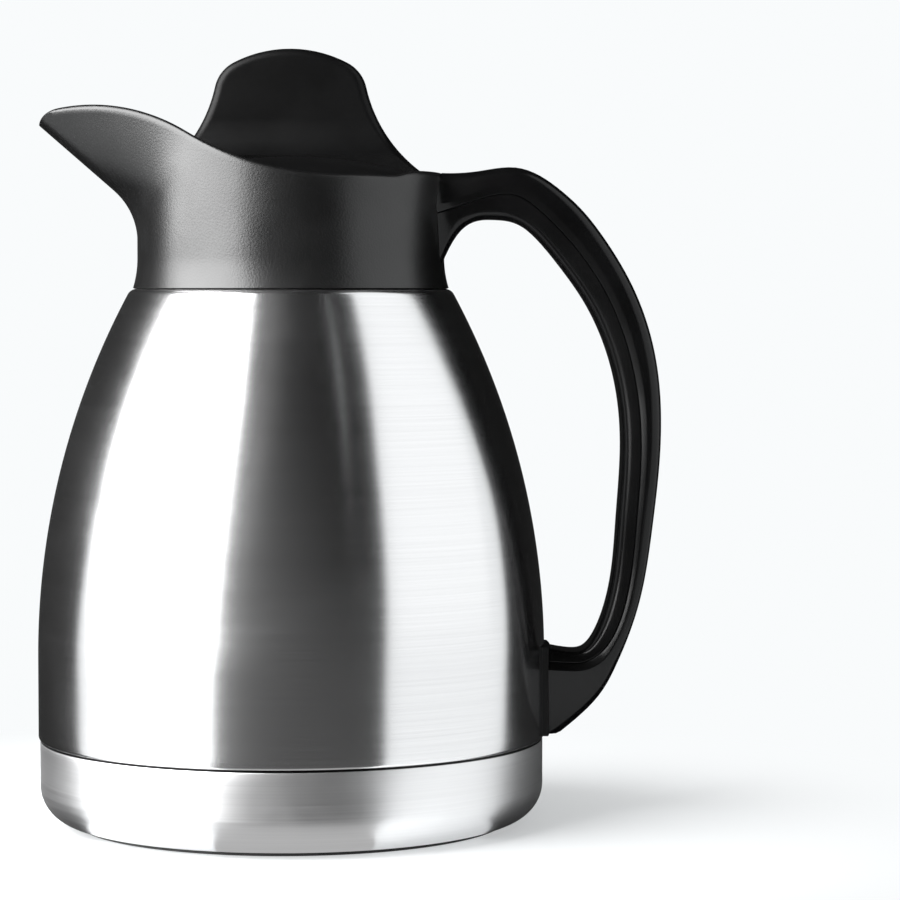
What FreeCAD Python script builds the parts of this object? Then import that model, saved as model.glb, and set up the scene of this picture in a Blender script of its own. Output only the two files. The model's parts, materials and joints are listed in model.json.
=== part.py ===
import FreeCAD
import Part
import Sketcher
import math
import os
from types import SimpleNamespace
from FreeCAD import Placement, Rotation, Vector

# A vacuum jug: a double-walled steel flask, a plastic collar with a beak, a loop handle in two
# halves and a screw stopper with an upright wing grip. The origin is on the jug's axis, on the
# surface that it stands on. The beak points to -X, the handle to +X and the stopper to +Z.

# Driving sizes, in millimetres
SIZES = {
    # steel vessel
    "body_radius": 74.2,
    "belly_height": 48.9,
    "shoulder_height": 156.3,
    "shoulder_round": 3.0,
    "shoulder_ledge": 0.6,
    "steel_wall": 0.8,
    "vacuum_gap": 6.0,
    "mouth_radius": 36.0,
    "neck_gap": 5.0,
    "neck_rise": 12.7,
    "flask_floor": 12.0,
    "flask_corner": 14.0,
    # steel base
    "base_height": 25.2,
    "base_inset": 0.5,
    "base_corner": 10.5,
    "seam_gap": 0.5,
    "seam_overlap": 5.0,
    "weld_gap": 0.05,
    "recess_land": 1.0,
    "recess_draft": 2.0,
    "recess_depth": 4.0,
    "port_radius": 1.5,
    "port_seal_radius": 3.2,
    "port_seal_depth": 1.2,
    "cover_thickness": 2.6,
    "cover_pocket_radius": 5.0,
    "cover_pocket_depth": 1.6,
    "getter_radius": 6.0,
    "getter_thickness": 1.5,
    "foot_ring_margin": 0.2,
    "foot_ring_width": 6.0,
    "foot_ring_thickness": 1.0,
    # fits between pieces
    "fit_gap": 0.3,
    "running_gap": 0.1,
    "thread_gap": 0.05,
    # collar
    "collar_thickness": 3.8,
    "collar_wall": 2.6,
    "collar_flare": 1.4,
    "collar_flare_rise": 9.0,
    "collar_rise": 32.1,
    "collar_flange": 2.4,
    "gasket_thickness": 0.8,
    "gasket_width": 3.2,
    "beak_rise": 13.5,
    "beak_bend": 20.0,
    "beak_slope": 1.15,
    "beak_nose": 8.0,
    "beak_root_nose": 32.0,
    "crest_rise": 20.8,
    "rim_flat_end": 14.0,
    "rim_valley_radius": 86.0,
    "rim_crest_radius": 60.0,
    "tip_reach": 74.0,
    "tip_round": 6.0,
    "saddle_rise": 1.6,
    "saddle_start": 30.0,
    "saddle_radius": 10.0,
    # threaded ring in the neck
    "ring_wall": 3.2,
    "ring_flange": 2.0,
    "seat_thickness": 2.5,
    "seat_width": 5.0,
    "snap_depth": 0.7,
    "snap_land": 1.5,
    "oring_section": 1.6,
    # stopper thread
    "thread_lead": 12.0,
    "thread_run_out": 0.2,
    "thread_depth": 1.8,
    "thread_root_width": 2.6,
    "thread_crest_width": 1.4,
    "thread_bite": 0.4,
    "thread_play": 0.4,
    # stopper
    "stopper_gasket_thickness": 2.4,
    "stopper_gasket_width": 8.0,
    "plug_gap": 0.4,
    "plug_wall": 2.0,
    "plug_floor": 2.4,
    "plug_flange": 2.0,
    "retainer_thickness": 2.0,
    "retainer_gap": 0.7,
    "post_radius": 5.0,
    "stopper_screw_radius": 2.0,
    "stopper_screw_head": 4.0,
    "stopper_screw_head_height": 1.6,
    "stopper_screw_length": 18.0,
    # cap and wing grip
    "lid_gap": 0.6,
    "lid_edge": 3.6,
    "lid_wall": 2.2,
    "lid_skirt": 2.8,
    "lid_step": 2.3,
    "dome_rise": 6.5,
    "grip_rise": 37.8,
    "grip_crown_radius": 36.0,
    "grip_crown_half": 16.7,
    "grip_corner_radius": 10.5,
    "grip_corner_fall": 0.2164,
    "grip_flare_radius": 42.0,
    "grip_foot_margin": 2.4,
    "grip_half_thickness": 6.0,
    "grip_scoop_radius": 14.0,
    "grip_scoop_height": 11.0,
    "grip_edge_round": 2.5,
    # handle, as sections at named stations along its parting line
    "handle_half_width": 12.5,
    "handle_root_half_width": 15.0,
    "handle_foot_half_width": 10.0,
    "handle_edge_round": 4.0,
    "handle_draft": 11.0,
    "handle_wall": 2.4,
    "parting_gap": 0.2,
    "root_reach": -3.0,
    "root_drop": 10.6,
    "root_outer": 12.7,
    "root_inner": 16.6,
    "throat_reach": 4.0,
    "throat_drop": 8.2,
    "throat_outer": 10.4,
    "throat_inner": 6.6,
    "arm_reach": 12.2,
    "arm_drop": 5.6,
    "arm_outer": 8.2,
    "arm_inner": 6.2,
    "crest_reach": 20.0,
    "crest_drop": 4.8,
    "crest_outer": 8.5,
    "crest_inner": 6.8,
    "knee_reach": 28.1,
    "knee_drop": 9.8,
    "knee_outer": 9.2,
    "knee_inner": 6.4,
    "sweep_reach": 17.8,
    "sweep_drop": 33.9,
    "sweep_outer": 7.9,
    "sweep_inner": 6.3,
    "palm_reach": 27.8,
    "palm_height": 111.0,
    "palm_outer": 6.1,
    "palm_inner": 5.3,
    "calf_reach": 26.6,
    "calf_height": 88.5,
    "calf_outer": 4.9,
    "calf_inner": 5.4,
    "shin_reach": 24.4,
    "shin_height": 69.0,
    "shin_outer": 4.1,
    "shin_inner": 5.2,
    "elbow_reach": 17.2,
    "elbow_height": 51.2,
    "elbow_outer": 5.7,
    "elbow_inner": 4.3,
    "heel_reach": 12.3,
    "heel_height": 47.7,
    "heel_outer": 10.5,
    "heel_inner": 3.4,
    "instep_reach": 6.3,
    "instep_height": 47.2,
    "instep_outer": 19.2,
    "instep_inner": 3.3,
    "foot_reach": -2.0,
    "foot_height": 47.8,
    "foot_outer": 26.5,
    "foot_inner": 4.4,
    # handle fixings
    "pad_thickness": 1.6,
    "pad_bottom": 26.0,
    "pad_top": 52.0,
    "pad_half_width": 10.5,
    "bracket_thickness": 1.4,
    "bracket_half_width": 6.0,
    "bracket_bottom": 33.0,
    "bracket_height": 12.0,
    "tab_height": 36.0,
    "tab_thickness": 1.6,
    "tab_length": 12.0,
    "foot_screw_reach": 7.0,
    "foot_screw_radius": 1.9,
    "foot_screw_head": 3.2,
    "foot_screw_head_height": 2.2,
    "foot_screw_length": 9.0,
    "foot_screw_land": 2.0,
    "collar_screw_radius": 1.75,
    "collar_screw_head": 2.6,
    "collar_screw_head_height": 1.6,
    "collar_screw_length": 13.0,
    "collar_screw_spread": 6.5,
    "collar_screw_drop": 8.0,
}

DOC = FreeCAD.newDocument("vacuum_jug")
SHEET = DOC.addObject("Spreadsheet::Sheet", "Sizes")
for row, (alias, number) in enumerate(SIZES.items(), 1):
    SHEET.set(f"A{row}", alias)
    SHEET.set(f"B{row}", str(number))
    SHEET.setAlias(f"B{row}", alias)
DOC.recompute()


class Size:
    """A number together with the sheet expression that it comes from."""

    def __init__(self, value, text):
        self.value = float(value)
        self.text = text

    def __add__(self, other):
        other = size_of(other)
        return Size(self.value + other.value, f"({self.text} + {other.text})")

    def __sub__(self, other):
        other = size_of(other)
        return Size(self.value - other.value, f"({self.text} - {other.text})")

    def __mul__(self, other):
        other = size_of(other)
        return Size(self.value * other.value, f"({self.text} * {other.text})")

    def __truediv__(self, other):
        other = size_of(other)
        return Size(self.value / other.value, f"({self.text} / {other.text})")

    def __radd__(self, other):
        return size_of(other) + self

    def __rsub__(self, other):
        return size_of(other) - self

    def __rmul__(self, other):
        return size_of(other) * self

    def __rtruediv__(self, other):
        return size_of(other) / self

    def __neg__(self):
        return Size(-self.value, f"(-1 * {self.text})")


def size_of(number):
    return number if isinstance(number, Size) else Size(number, str(number))


def root(size):
    return Size(math.sqrt(size.value), f"sqrt({size.text})")


d = SimpleNamespace(**{alias: Size(SHEET.get(alias), f"Sizes.{alias}") for alias in SIZES})


# Outlines: each corner is reached from the one before it by a line or by an arc.
def line(x, y):
    return SimpleNamespace(x=size_of(x), y=size_of(y), radius=None)


def arc(x, y, radius, centre, turn):
    """An arc to (x, y), anticlockwise where turn is 1 and clockwise where it is -1."""
    middle = Vector(size_of(centre[0]).value, size_of(centre[1]).value, 0)
    return SimpleNamespace(x=size_of(x), y=size_of(y), radius=radius, centre=middle, turn=turn)


def angle_about(centre, corner):
    return math.atan2(corner.y.value - centre.y, corner.x.value - centre.x)


def draw(sketch, outline):
    """Draw a closed outline with every corner and radius bound to the sheet."""
    ends = []
    for before, corner in zip([outline[-1]] + outline[:-1], outline):
        if corner.radius is None:
            start = Vector(before.x.value, before.y.value, 0)
            end = Vector(corner.x.value, corner.y.value, 0)
            ends.append((sketch.addGeometry(Part.LineSegment(start, end)), 1, 2))
            continue
        circle = Part.Circle(corner.centre, Vector(0, 0, 1), corner.radius.value)
        first, last = angle_about(corner.centre, before), angle_about(corner.centre, corner)
        if corner.turn < 0:
            first, last = last, first
        if last <= first:
            last += 2 * math.pi
        curve = sketch.addGeometry(Part.ArcOfCircle(circle, first, last))
        ends.append((curve, 1, 2) if corner.turn > 0 else (curve, 2, 1))
        bind(sketch, Sketcher.Constraint("Radius", curve, corner.radius.value), corner.radius)
    for (curve, _, end), (following, start, _) in zip(ends, ends[1:] + ends[:1]):
        sketch.addConstraint(Sketcher.Constraint("Coincident", curve, end, following, start))
    for (curve, _, end), corner in zip(ends, outline):
        for kind, size in (("DistanceX", corner.x), ("DistanceY", corner.y)):
            bind(sketch, Sketcher.Constraint(kind, -1, 1, curve, end, size.value), size)


def bind(sketch, constraint, size):
    index = sketch.addConstraint(constraint)
    sketch.setExpression(f"Constraints[{index}]", size.text)


def place(thing, x=0, y=0, z=0, rotation=None):
    """Put an object at a place that follows the sheet."""
    thing.Placement = Placement(Vector(), rotation or Rotation())
    for letter, size in (("x", x), ("y", y), ("z", z)):
        thing.setExpression(f"Placement.Base.{letter}", size_of(size).text)


def turned(label, outline):
    """A body of revolution about the jug's axis, from an outline of radius and height."""
    body = DOC.addObject("PartDesign::Body", label)
    sketch = body.newObject("Sketcher::SketchObject", f"{label}_outline")
    planes = {plane.Role: plane for plane in body.Origin.OriginFeatures}
    sketch.AttachmentSupport = [(planes["XZ_Plane"], "")]
    sketch.MapMode = "FlatFace"
    draw(sketch, outline)
    turn = body.newObject("PartDesign::Revolution", f"{label}_turn")
    turn.Profile = sketch
    turn.ReferenceAxis = (sketch, ["V_Axis"])
    turn.Angle = 360.0
    return body


UPRIGHT = Rotation(Vector(1, 0, 0), 90)
ACROSS = Rotation(Vector(1, 1, 1), 120)
ALONG_X = Rotation(Vector(0, 1, 0), 90)


def extruded(label, outline, rotation, half_length):
    """An outline drawn upright through the jug's axis and extruded to both sides."""
    sketch = DOC.addObject("Sketcher::SketchObject", f"{label}_outline")
    sketch.Placement = Placement(Vector(), rotation)
    draw(sketch, outline)
    block = DOC.addObject("Part::Extrusion", label)
    block.Base = sketch
    block.DirMode = "Normal"
    block.Solid = True
    block.Symmetric = True
    block.setExpression("LengthFwd", (half_length * 2).text)
    return block


def cylinder(label, radius, height, z, x=0, y=0, rotation=None):
    tube = DOC.addObject("Part::Cylinder", label)
    tube.setExpression("Radius", size_of(radius).text)
    tube.setExpression("Height", size_of(height).text)
    place(tube, x, y, z, rotation)
    return tube


def box(label, x, half_y, z, length, height):
    block = DOC.addObject("Part::Box", label)
    block.setExpression("Length", size_of(length).text)
    block.setExpression("Width", (half_y * 2).text)
    block.setExpression("Height", size_of(height).text)
    place(block, x, -half_y, z)
    return block


def cut(label, base, tool):
    result = DOC.addObject("Part::Cut", label)
    result.Base = base
    result.Tool = tool
    return result


def common(label, base, tool):
    result = DOC.addObject("Part::Common", label)
    result.Base = base
    result.Tool = tool
    return result


def fused(label, shapes):
    result = DOC.addObject("Part::MultiFuse", label)
    result.Shapes = shapes
    return result


def lofted(label, sections):
    result = DOC.addObject("Part::Loft", label)
    result.Sections = sections
    result.Solid = True
    return result


def screw(label, head_radius, head_height, radius, length):
    """A pan-head screw along its own axis, with the head below its origin and the shank above."""
    return turned(label, [
        line(0, -head_height),
        line(head_radius - head_height / 2, -head_height),
        arc(head_radius, -head_height / 2, head_height / 2,
            (head_radius - head_height / 2, -head_height / 2), 1),
        line(head_radius, 0),
        line(radius, 0),
        line(radius, length - radius),
        line(0, length),
    ])


# Heights and radii that several pieces share
neck_radius = d.mouth_radius + d.neck_gap
collar_radius = neck_radius + d.collar_thickness
collar_foot_radius = collar_radius + d.collar_flare
collar_bore = collar_radius - d.collar_wall
shoulder_radius = collar_foot_radius + d.shoulder_ledge
lip_height = d.shoulder_height + d.neck_rise
gasket_height = lip_height + d.steel_wall
flange_height = gasket_height + d.gasket_thickness
ring_height = flange_height + d.collar_flange
ring_top = ring_height + d.ring_flange
ring_radius = d.mouth_radius - d.fit_gap
ring_bore = ring_radius - d.ring_wall
seat_hole = ring_bore - d.seat_width
plug_radius = ring_bore - d.thread_depth - d.plug_gap
rim_height = d.shoulder_height + d.collar_rise
crest_height = rim_height + d.crest_rise
lid_bottom = rim_height - d.lid_edge
lid_radius = collar_bore - d.lid_gap
grip_top = rim_height + d.grip_rise
base_bottom = d.foot_ring_thickness
panel_height = base_bottom + d.recess_depth
foot_ring_outer = d.body_radius - d.base_inset - d.base_corner - d.foot_ring_margin
foot_ring_inner = foot_ring_outer - d.foot_ring_width
recess_edge = foot_ring_inner - d.recess_land
recess_radius = recess_edge - d.recess_draft

# The body's side is one arc, upright at the belly, whose centre lies behind the axis.
arc_rise = d.shoulder_height - d.belly_height
arc_run = d.body_radius - shoulder_radius
body_arc = (arc_rise * arc_rise + arc_run * arc_run) / (arc_run * 2)
arc_centre = d.body_radius - body_arc
flask_radius = d.body_radius - d.steel_wall - d.vacuum_gap
flask_outer_arc = body_arc - d.steel_wall - d.vacuum_gap
flask_inner_arc = flask_outer_arc - d.steel_wall


def neck_corner(neck, flask_arc):
    """The height at which the flask's arc turns into its neck."""
    run = neck - arc_centre
    return d.belly_height + root(flask_arc * flask_arc - run * run)


# The threaded ring snaps in under the neck's inner corner, and the stopper's seat is at its foot.
snap_top = neck_corner(d.mouth_radius, flask_inner_arc) - d.snap_depth
ring_bottom = snap_top - d.snap_depth - d.snap_land
seat_height = ring_bottom + d.seat_thickness
oring_height = (snap_top + lip_height) / 2
gasket_bottom = seat_height + d.running_gap
plug_bottom = gasket_bottom + d.stopper_gasket_thickness + d.running_gap


def outer_shell():
    round_z = d.shoulder_height - d.shoulder_round
    to_round = body_arc - d.shoulder_round
    rise = round_z - d.belly_height
    run = root(to_round * to_round - rise * rise)
    round_x = arc_centre + run
    centre = (arc_centre, d.belly_height)
    inner_arc = body_arc - d.steel_wall
    inner_round = d.shoulder_round - d.steel_wall
    ledge = d.shoulder_height - d.steel_wall
    inner_radius = d.body_radius - d.steel_wall
    return turned("outer_shell", [
        line(d.body_radius, d.base_height),
        line(d.body_radius, d.belly_height),
        arc(arc_centre + run * body_arc / to_round, d.belly_height + rise * body_arc / to_round,
            body_arc, centre, 1),
        arc(round_x, d.shoulder_height, d.shoulder_round, (round_x, round_z), 1),
        line(neck_radius, d.shoulder_height),
        line(neck_radius, lip_height),
        line(neck_radius - d.steel_wall, lip_height),
        line(neck_radius - d.steel_wall, ledge),
        line(round_x, ledge),
        arc(arc_centre + run * inner_arc / to_round, d.belly_height + rise * inner_arc / to_round,
            inner_round, (round_x, round_z), -1),
        arc(inner_radius, d.belly_height, inner_arc, centre, -1),
        line(inner_radius, d.base_height),
    ])


def inner_flask():
    outside = d.mouth_radius + d.steel_wall
    inside = flask_radius - d.steel_wall
    knuckle = (flask_radius - d.flask_corner, d.flask_floor + d.flask_corner)
    centre = (arc_centre, d.belly_height)
    return turned("inner_flask", [
        line(0, d.flask_floor),
        line(knuckle[0], d.flask_floor),
        arc(flask_radius, knuckle[1], d.flask_corner, knuckle, 1),
        line(flask_radius, d.belly_height),
        arc(outside, neck_corner(outside, flask_outer_arc), flask_outer_arc, centre, 1),
        line(outside, lip_height),
        line(neck_radius, lip_height),
        line(neck_radius, gasket_height),
        line(d.mouth_radius, gasket_height),
        line(d.mouth_radius, neck_corner(d.mouth_radius, flask_inner_arc)),
        arc(inside, d.belly_height, flask_inner_arc, centre, -1),
        line(inside, knuckle[1]),
        arc(knuckle[0], d.flask_floor + d.steel_wall, d.flask_corner - d.steel_wall, knuckle, -1),
        line(0, d.flask_floor + d.steel_wall),
    ])


def base_cup():
    wall = d.body_radius - d.base_inset
    lip = d.body_radius - d.steel_wall - d.weld_gap
    inside = lip - d.steel_wall
    corner_z = base_bottom + d.base_corner
    inner_corner = d.base_corner - d.steel_wall
    return turned("base_cup", [
        line(d.port_radius, panel_height),
        line(recess_radius, panel_height),
        line(recess_edge, base_bottom),
        line(wall - d.base_corner, base_bottom),
        arc(wall, corner_z, d.base_corner, (wall - d.base_corner, corner_z), 1),
        line(wall, d.base_height - d.seam_gap),
        line(lip, d.base_height - d.seam_gap),
        line(lip, d.base_height + d.seam_overlap),
        line(inside, d.base_height + d.seam_overlap),
        line(inside, corner_z),
        arc(inside - inner_corner, base_bottom + d.steel_wall, inner_corner,
            (inside - inner_corner, corner_z), -1),
        line(recess_edge, base_bottom + d.steel_wall),
        line(recess_radius, panel_height + d.steel_wall),
        line(d.port_radius, panel_height + d.steel_wall),
    ])


def vacuum_seal():
    stem = d.port_radius - d.thread_gap
    return turned("vacuum_seal", [
        line(0, panel_height - d.port_seal_depth),
        line(d.port_seal_radius - d.port_seal_depth, panel_height - d.port_seal_depth),
        arc(d.port_seal_radius, panel_height, d.port_seal_depth,
            (d.port_seal_radius - d.port_seal_depth, panel_height), 1),
        line(stem, panel_height),
        line(stem, panel_height + d.steel_wall),
        line(0, panel_height + d.steel_wall),
    ])


def base_cover():
    bottom = panel_height - d.cover_thickness
    edge = recess_radius - d.fit_gap
    return turned("base_cover", [
        line(0, bottom),
        line(edge, bottom),
        line(edge, panel_height),
        line(d.cover_pocket_radius, panel_height),
        line(d.cover_pocket_radius, panel_height - d.cover_pocket_depth),
        line(0, panel_height - d.cover_pocket_depth),
    ])


def getter():
    edge = d.getter_thickness / 2
    middle = d.flask_floor - edge
    return turned("getter", [
        line(0, d.flask_floor - d.getter_thickness),
        line(d.getter_radius - edge, d.flask_floor - d.getter_thickness),
        arc(d.getter_radius, middle, edge, (d.getter_radius - edge, middle), 1),
        line(d.getter_radius, d.flask_floor),
        line(0, d.flask_floor),
    ])


def ring_of(label, inner, outer, bottom, top):
    return turned(label, [
        line(inner, bottom),
        line(outer, bottom),
        line(outer, top),
        line(inner, top),
    ])


def beak_reach(height, wall):
    """How far the beak stands out at a height: an arc out of the collar, then a straight slope."""
    steep = 1 / root(1 + d.beak_slope * d.beak_slope)
    bend = d.beak_bend + wall
    above = height - (d.shoulder_height + d.beak_rise)
    middle = collar_radius + d.beak_bend
    bend_end = bend * d.beak_slope * steep
    if above.value <= 0:
        return middle - bend
    if above.value <= bend_end.value:
        return middle - root(bend * bend - above * above)
    return middle - bend * steep + (above - bend_end) * d.beak_slope


def teardrop(label, height, radius, reach, nose):
    """A level section of the collar: a circle drawn out to a rounded nose at the front."""
    sketch = DOC.addObject("Sketcher::SketchObject", label)
    place(sketch, z=height)
    spread = reach - nose
    cosine = (radius - nose) / spread
    sine = root(1 - cosine * cosine)
    draw(sketch, [
        arc(-radius * cosine, radius * sine, radius, (0, 0), 1),
        line(-(spread + nose * cosine), nose * sine),
        arc(-(spread + nose * cosine), -(nose * sine), nose, (-spread, 0), 1),
        line(-radius * cosine, -(radius * sine)),
    ])
    return sketch


# The beak's first section is a circle with a nose that stands out by no more than this.
NOSE_SLIVER = 0.02
# Levels of the beak's sections, as shares of the way from its root to above its crest
BEAK_LEVELS = (0.0, 0.1, 0.2, 0.29, 0.38, 0.52, 0.68, 0.84, 1.0)
FORM_MARGIN = 4.0
beak_foot = d.shoulder_height + d.beak_rise
form_top = crest_height + FORM_MARGIN


def beak_nose(height):
    """The radius of the beak's front: broad where it leaves the collar and narrow at the tip."""
    left = 1 - (height - beak_foot) / (form_top - beak_foot)
    return d.beak_nose + (d.beak_root_nose - d.beak_nose) * (left * left)


def collar_form():
    """The collar's outside, solid and uncut, from the shoulder to above the rim."""
    rise = d.collar_flare_rise
    flare = (rise * rise + d.collar_flare * d.collar_flare) / (d.collar_flare * 2)
    flare_top = d.shoulder_height + rise
    foot = turned("collar_foot", [
        line(0, d.shoulder_height),
        line(collar_foot_radius, d.shoulder_height),
        arc(collar_radius, flare_top, flare, (collar_radius + flare, flare_top), -1),
        line(collar_radius, beak_foot),
        line(0, beak_foot),
    ])
    sections = []
    for index, share in enumerate(BEAK_LEVELS):
        height = beak_foot + (form_top - beak_foot) * share
        reach = beak_reach(height, size_of(0)) + NOSE_SLIVER
        sections.append(teardrop(f"collar_level_{index}", height, collar_radius, reach, beak_nose(height)))
    return fused("collar_form", [foot, lofted("collar_beak", sections)])


def collar_void():
    """The room inside the collar above its flange, out into the beak."""
    sections = []
    for index, share in enumerate(BEAK_LEVELS):
        height = ring_height + (form_top + FORM_MARGIN - ring_height) * share
        reach = beak_reach(height, d.collar_wall) + NOSE_SLIVER
        nose = beak_nose(height) - d.collar_wall
        sections.append(teardrop(f"void_level_{index}", height, collar_bore, reach, nose))
    return lofted("collar_void", sections)


def rim_cutter():
    """All that lies above the rim: level at the back, through a valley and over the beak's crest."""
    both = d.rim_valley_radius + d.rim_crest_radius
    cosine = 1 - d.crest_rise / both
    sine = root(1 - cosine * cosine)
    crest_x = d.rim_flat_end - both * sine
    crest_z = crest_height - d.rim_crest_radius
    turn_x = crest_x + d.rim_crest_radius * sine
    turn_z = crest_z + d.rim_crest_radius * cosine
    tip_x = d.tip_round - d.tip_reach
    tip_sine = (crest_x - tip_x) / (d.rim_crest_radius - d.tip_round)
    tip_cosine = root(1 - tip_sine * tip_sine)
    tip_z = crest_z + (d.rim_crest_radius - d.tip_round) * tip_cosine
    tip_corner = d.tip_round * math.sqrt(0.5)
    top = form_top + FORM_MARGIN * 2
    saddle_height = rim_height + d.saddle_rise
    saddle_cosine = 1 - d.saddle_rise / (d.saddle_radius * 2)
    saddle_run = d.saddle_radius * root(1 - saddle_cosine * saddle_cosine)
    return extruded("rim_cutter", [
        line(d.body_radius, top),
        line(d.tip_reach * -2, top),
        line(d.tip_reach * -2, tip_z - tip_corner),
        line(tip_x - tip_corner, tip_z - tip_corner),
        arc(crest_x - d.rim_crest_radius * tip_sine, crest_z + d.rim_crest_radius * tip_cosine,
            d.tip_round, (tip_x, tip_z), -1),
        arc(turn_x, turn_z, d.rim_crest_radius, (crest_x, crest_z), -1),
        arc(d.rim_flat_end, rim_height, d.rim_valley_radius,
            (d.rim_flat_end, rim_height + d.rim_valley_radius), 1),
        line(d.saddle_start, rim_height),
        arc(d.saddle_start + saddle_run, rim_height + d.saddle_rise / 2, d.saddle_radius,
            (d.saddle_start, rim_height + d.saddle_radius), 1),
        arc(d.saddle_start + saddle_run * 2, saddle_height, d.saddle_radius,
            (d.saddle_start + saddle_run * 2, saddle_height - d.saddle_radius), -1),
        line(d.body_radius, saddle_height),
    ], UPRIGHT, d.body_radius)


collar_screw_height = rim_height - d.collar_screw_drop


def screw_sides(label, make):
    """One thing at each of the two collar screws' places."""
    places = (("left", d.collar_screw_spread), ("right", -d.collar_screw_spread))
    return [make(f"{label}_{name}", y) for name, y in places]


def spout_collar(form):
    foot = d.shoulder_height
    void_parts = [
        collar_void(),
        rim_cutter(),
        cylinder("collar_neck_bore", neck_radius + d.fit_gap, flange_height - foot, foot),
        cylinder("collar_flange_hole", ring_radius + d.fit_gap, ring_top - foot, foot),
    ]
    void_parts += screw_sides("collar_screw_hole", lambda name, y: cylinder(
        name, d.collar_screw_radius + d.thread_gap, collar_radius, collar_screw_height, 0, y, ALONG_X))
    return cut("spout_collar", form, fused("collar_cuts", void_parts))


def neck_gasket():
    outer = neck_radius - d.fit_gap
    return ring_of("neck_gasket", outer - d.gasket_width, outer, gasket_height, flange_height)


# The plug's ridges hang under the ring's by half a pitch, less what closes their play.
ridge_half_width = (d.thread_root_width + d.thread_crest_width) / 4
plug_ridge_start = plug_bottom + d.thread_root_width / 2
ring_ridge_start = plug_ridge_start + ridge_half_width * 2 + d.thread_play
ridge_rise = ring_top - ring_ridge_start - d.thread_root_width / 2 - d.thread_run_out


def thread_ridge(label, wall, crest, start, half_turn):
    """One start of the stopper's thread, on a wall, towards a crest."""
    turn = Rotation(Vector(0, 0, 1), 180 * half_turn)
    helix = DOC.addObject("Part::Helix", f"{label}_helix")
    helix.setExpression("Pitch", d.thread_lead.text)
    helix.setExpression("Height", ridge_rise.text)
    helix.setExpression("Radius", wall.text)
    place(helix, z=start, rotation=turn)
    profile = DOC.addObject("Sketcher::SketchObject", f"{label}_profile")
    place(profile, z=start, rotation=turn * UPRIGHT)
    foot = wall - (crest - wall) / d.thread_depth * d.thread_bite
    draw(profile, [
        line(foot, -d.thread_root_width / 2),
        line(crest, -d.thread_crest_width / 2),
        line(crest, d.thread_crest_width / 2),
        line(foot, d.thread_root_width / 2),
    ])
    ridge = DOC.addObject("Part::Sweep", label)
    ridge.Sections = [profile]
    ridge.Spine = (helix, ["Edge1"])
    ridge.Solid = True
    ridge.Frenet = True
    return ridge


def neck_ring():
    snap = ring_radius + d.snap_depth
    groove_top = oring_height + (d.oring_section + d.fit_gap) / 2
    groove_bottom = groove_top - d.oring_section - d.fit_gap
    groove = d.mouth_radius - d.oring_section - d.thread_gap
    body = turned("neck_ring_body", [
        line(seat_hole, ring_bottom),
        line(snap, ring_bottom),
        line(snap, snap_top - d.snap_depth),
        line(ring_radius, snap_top),
        line(ring_radius, groove_bottom),
        line(groove, groove_bottom),
        line(groove, groove_top),
        line(ring_radius, groove_top),
        line(ring_radius, ring_height),
        line(collar_bore - d.lid_gap, ring_height),
        line(collar_bore - d.lid_gap, ring_top),
        line(ring_bore, ring_top),
        line(ring_bore, seat_height),
        line(seat_hole, seat_height),
    ])
    crest = ring_bore - d.thread_depth
    ridges = [thread_ridge(f"ring_ridge_{half}", ring_bore, crest, ring_ridge_start, half)
              for half in (0, 1)]
    return fused("neck_ring", [body] + ridges)


def neck_oring():
    radius = d.oring_section / 2
    middle = d.mouth_radius - radius
    ring = DOC.addObject("Part::Torus", "neck_oring")
    ring.setExpression("Radius1", (middle - d.thread_gap).text)
    ring.setExpression("Radius2", (radius - d.thread_gap).text)
    place(ring, z=oring_height)
    return ring


gasket_outer = ring_bore - d.thread_depth - d.plug_gap * 2
gasket_inner = gasket_outer - d.stopper_gasket_width


def stopper_gasket():
    return ring_of("stopper_gasket", gasket_inner, gasket_outer,
                   gasket_bottom, gasket_bottom + d.stopper_gasket_thickness)


def seal_retainer():
    flange = seat_hole - d.retainer_gap
    hub = gasket_inner - d.running_gap
    top = gasket_bottom - d.running_gap
    hole = d.stopper_screw_radius + d.thread_gap
    return turned("seal_retainer", [
        line(hole, top - d.retainer_thickness),
        line(flange, top - d.retainer_thickness),
        line(flange, top),
        line(hub, top),
        line(hub, plug_bottom),
        line(hole, plug_bottom),
    ])


plug_flange_radius = lid_radius - d.lid_skirt - d.fit_gap
plug_inside = plug_radius - d.plug_wall
plug_floor_top = plug_bottom + d.plug_floor
plug_top = lid_bottom + d.plug_flange


def stopper_plug():
    body = turned("stopper_plug_body", [
        line(d.stopper_screw_radius + d.thread_gap, plug_bottom),
        line(plug_radius, plug_bottom),
        line(plug_radius, lid_bottom),
        line(plug_flange_radius, lid_bottom),
        line(plug_flange_radius, plug_top),
        line(plug_inside, plug_top),
        line(plug_inside, plug_floor_top),
        line(d.stopper_screw_radius + d.thread_gap, plug_floor_top),
    ])
    crest = plug_radius + d.thread_depth
    ridges = [thread_ridge(f"plug_ridge_{half}", plug_radius, crest, plug_ridge_start, half)
              for half in (0, 1)]
    return fused("stopper_plug", [body] + ridges)


def stopper_foam():
    return ring_of("stopper_foam", d.post_radius + d.fit_gap, plug_inside - d.fit_gap,
                   plug_floor_top, plug_top)


def stopper_screw():
    fastener = screw("stopper_screw", d.stopper_screw_head, d.stopper_screw_head_height,
                     d.stopper_screw_radius, d.stopper_screw_length)
    place(fastener, z=gasket_bottom - d.running_gap - d.retainer_thickness)
    return fastener


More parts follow.
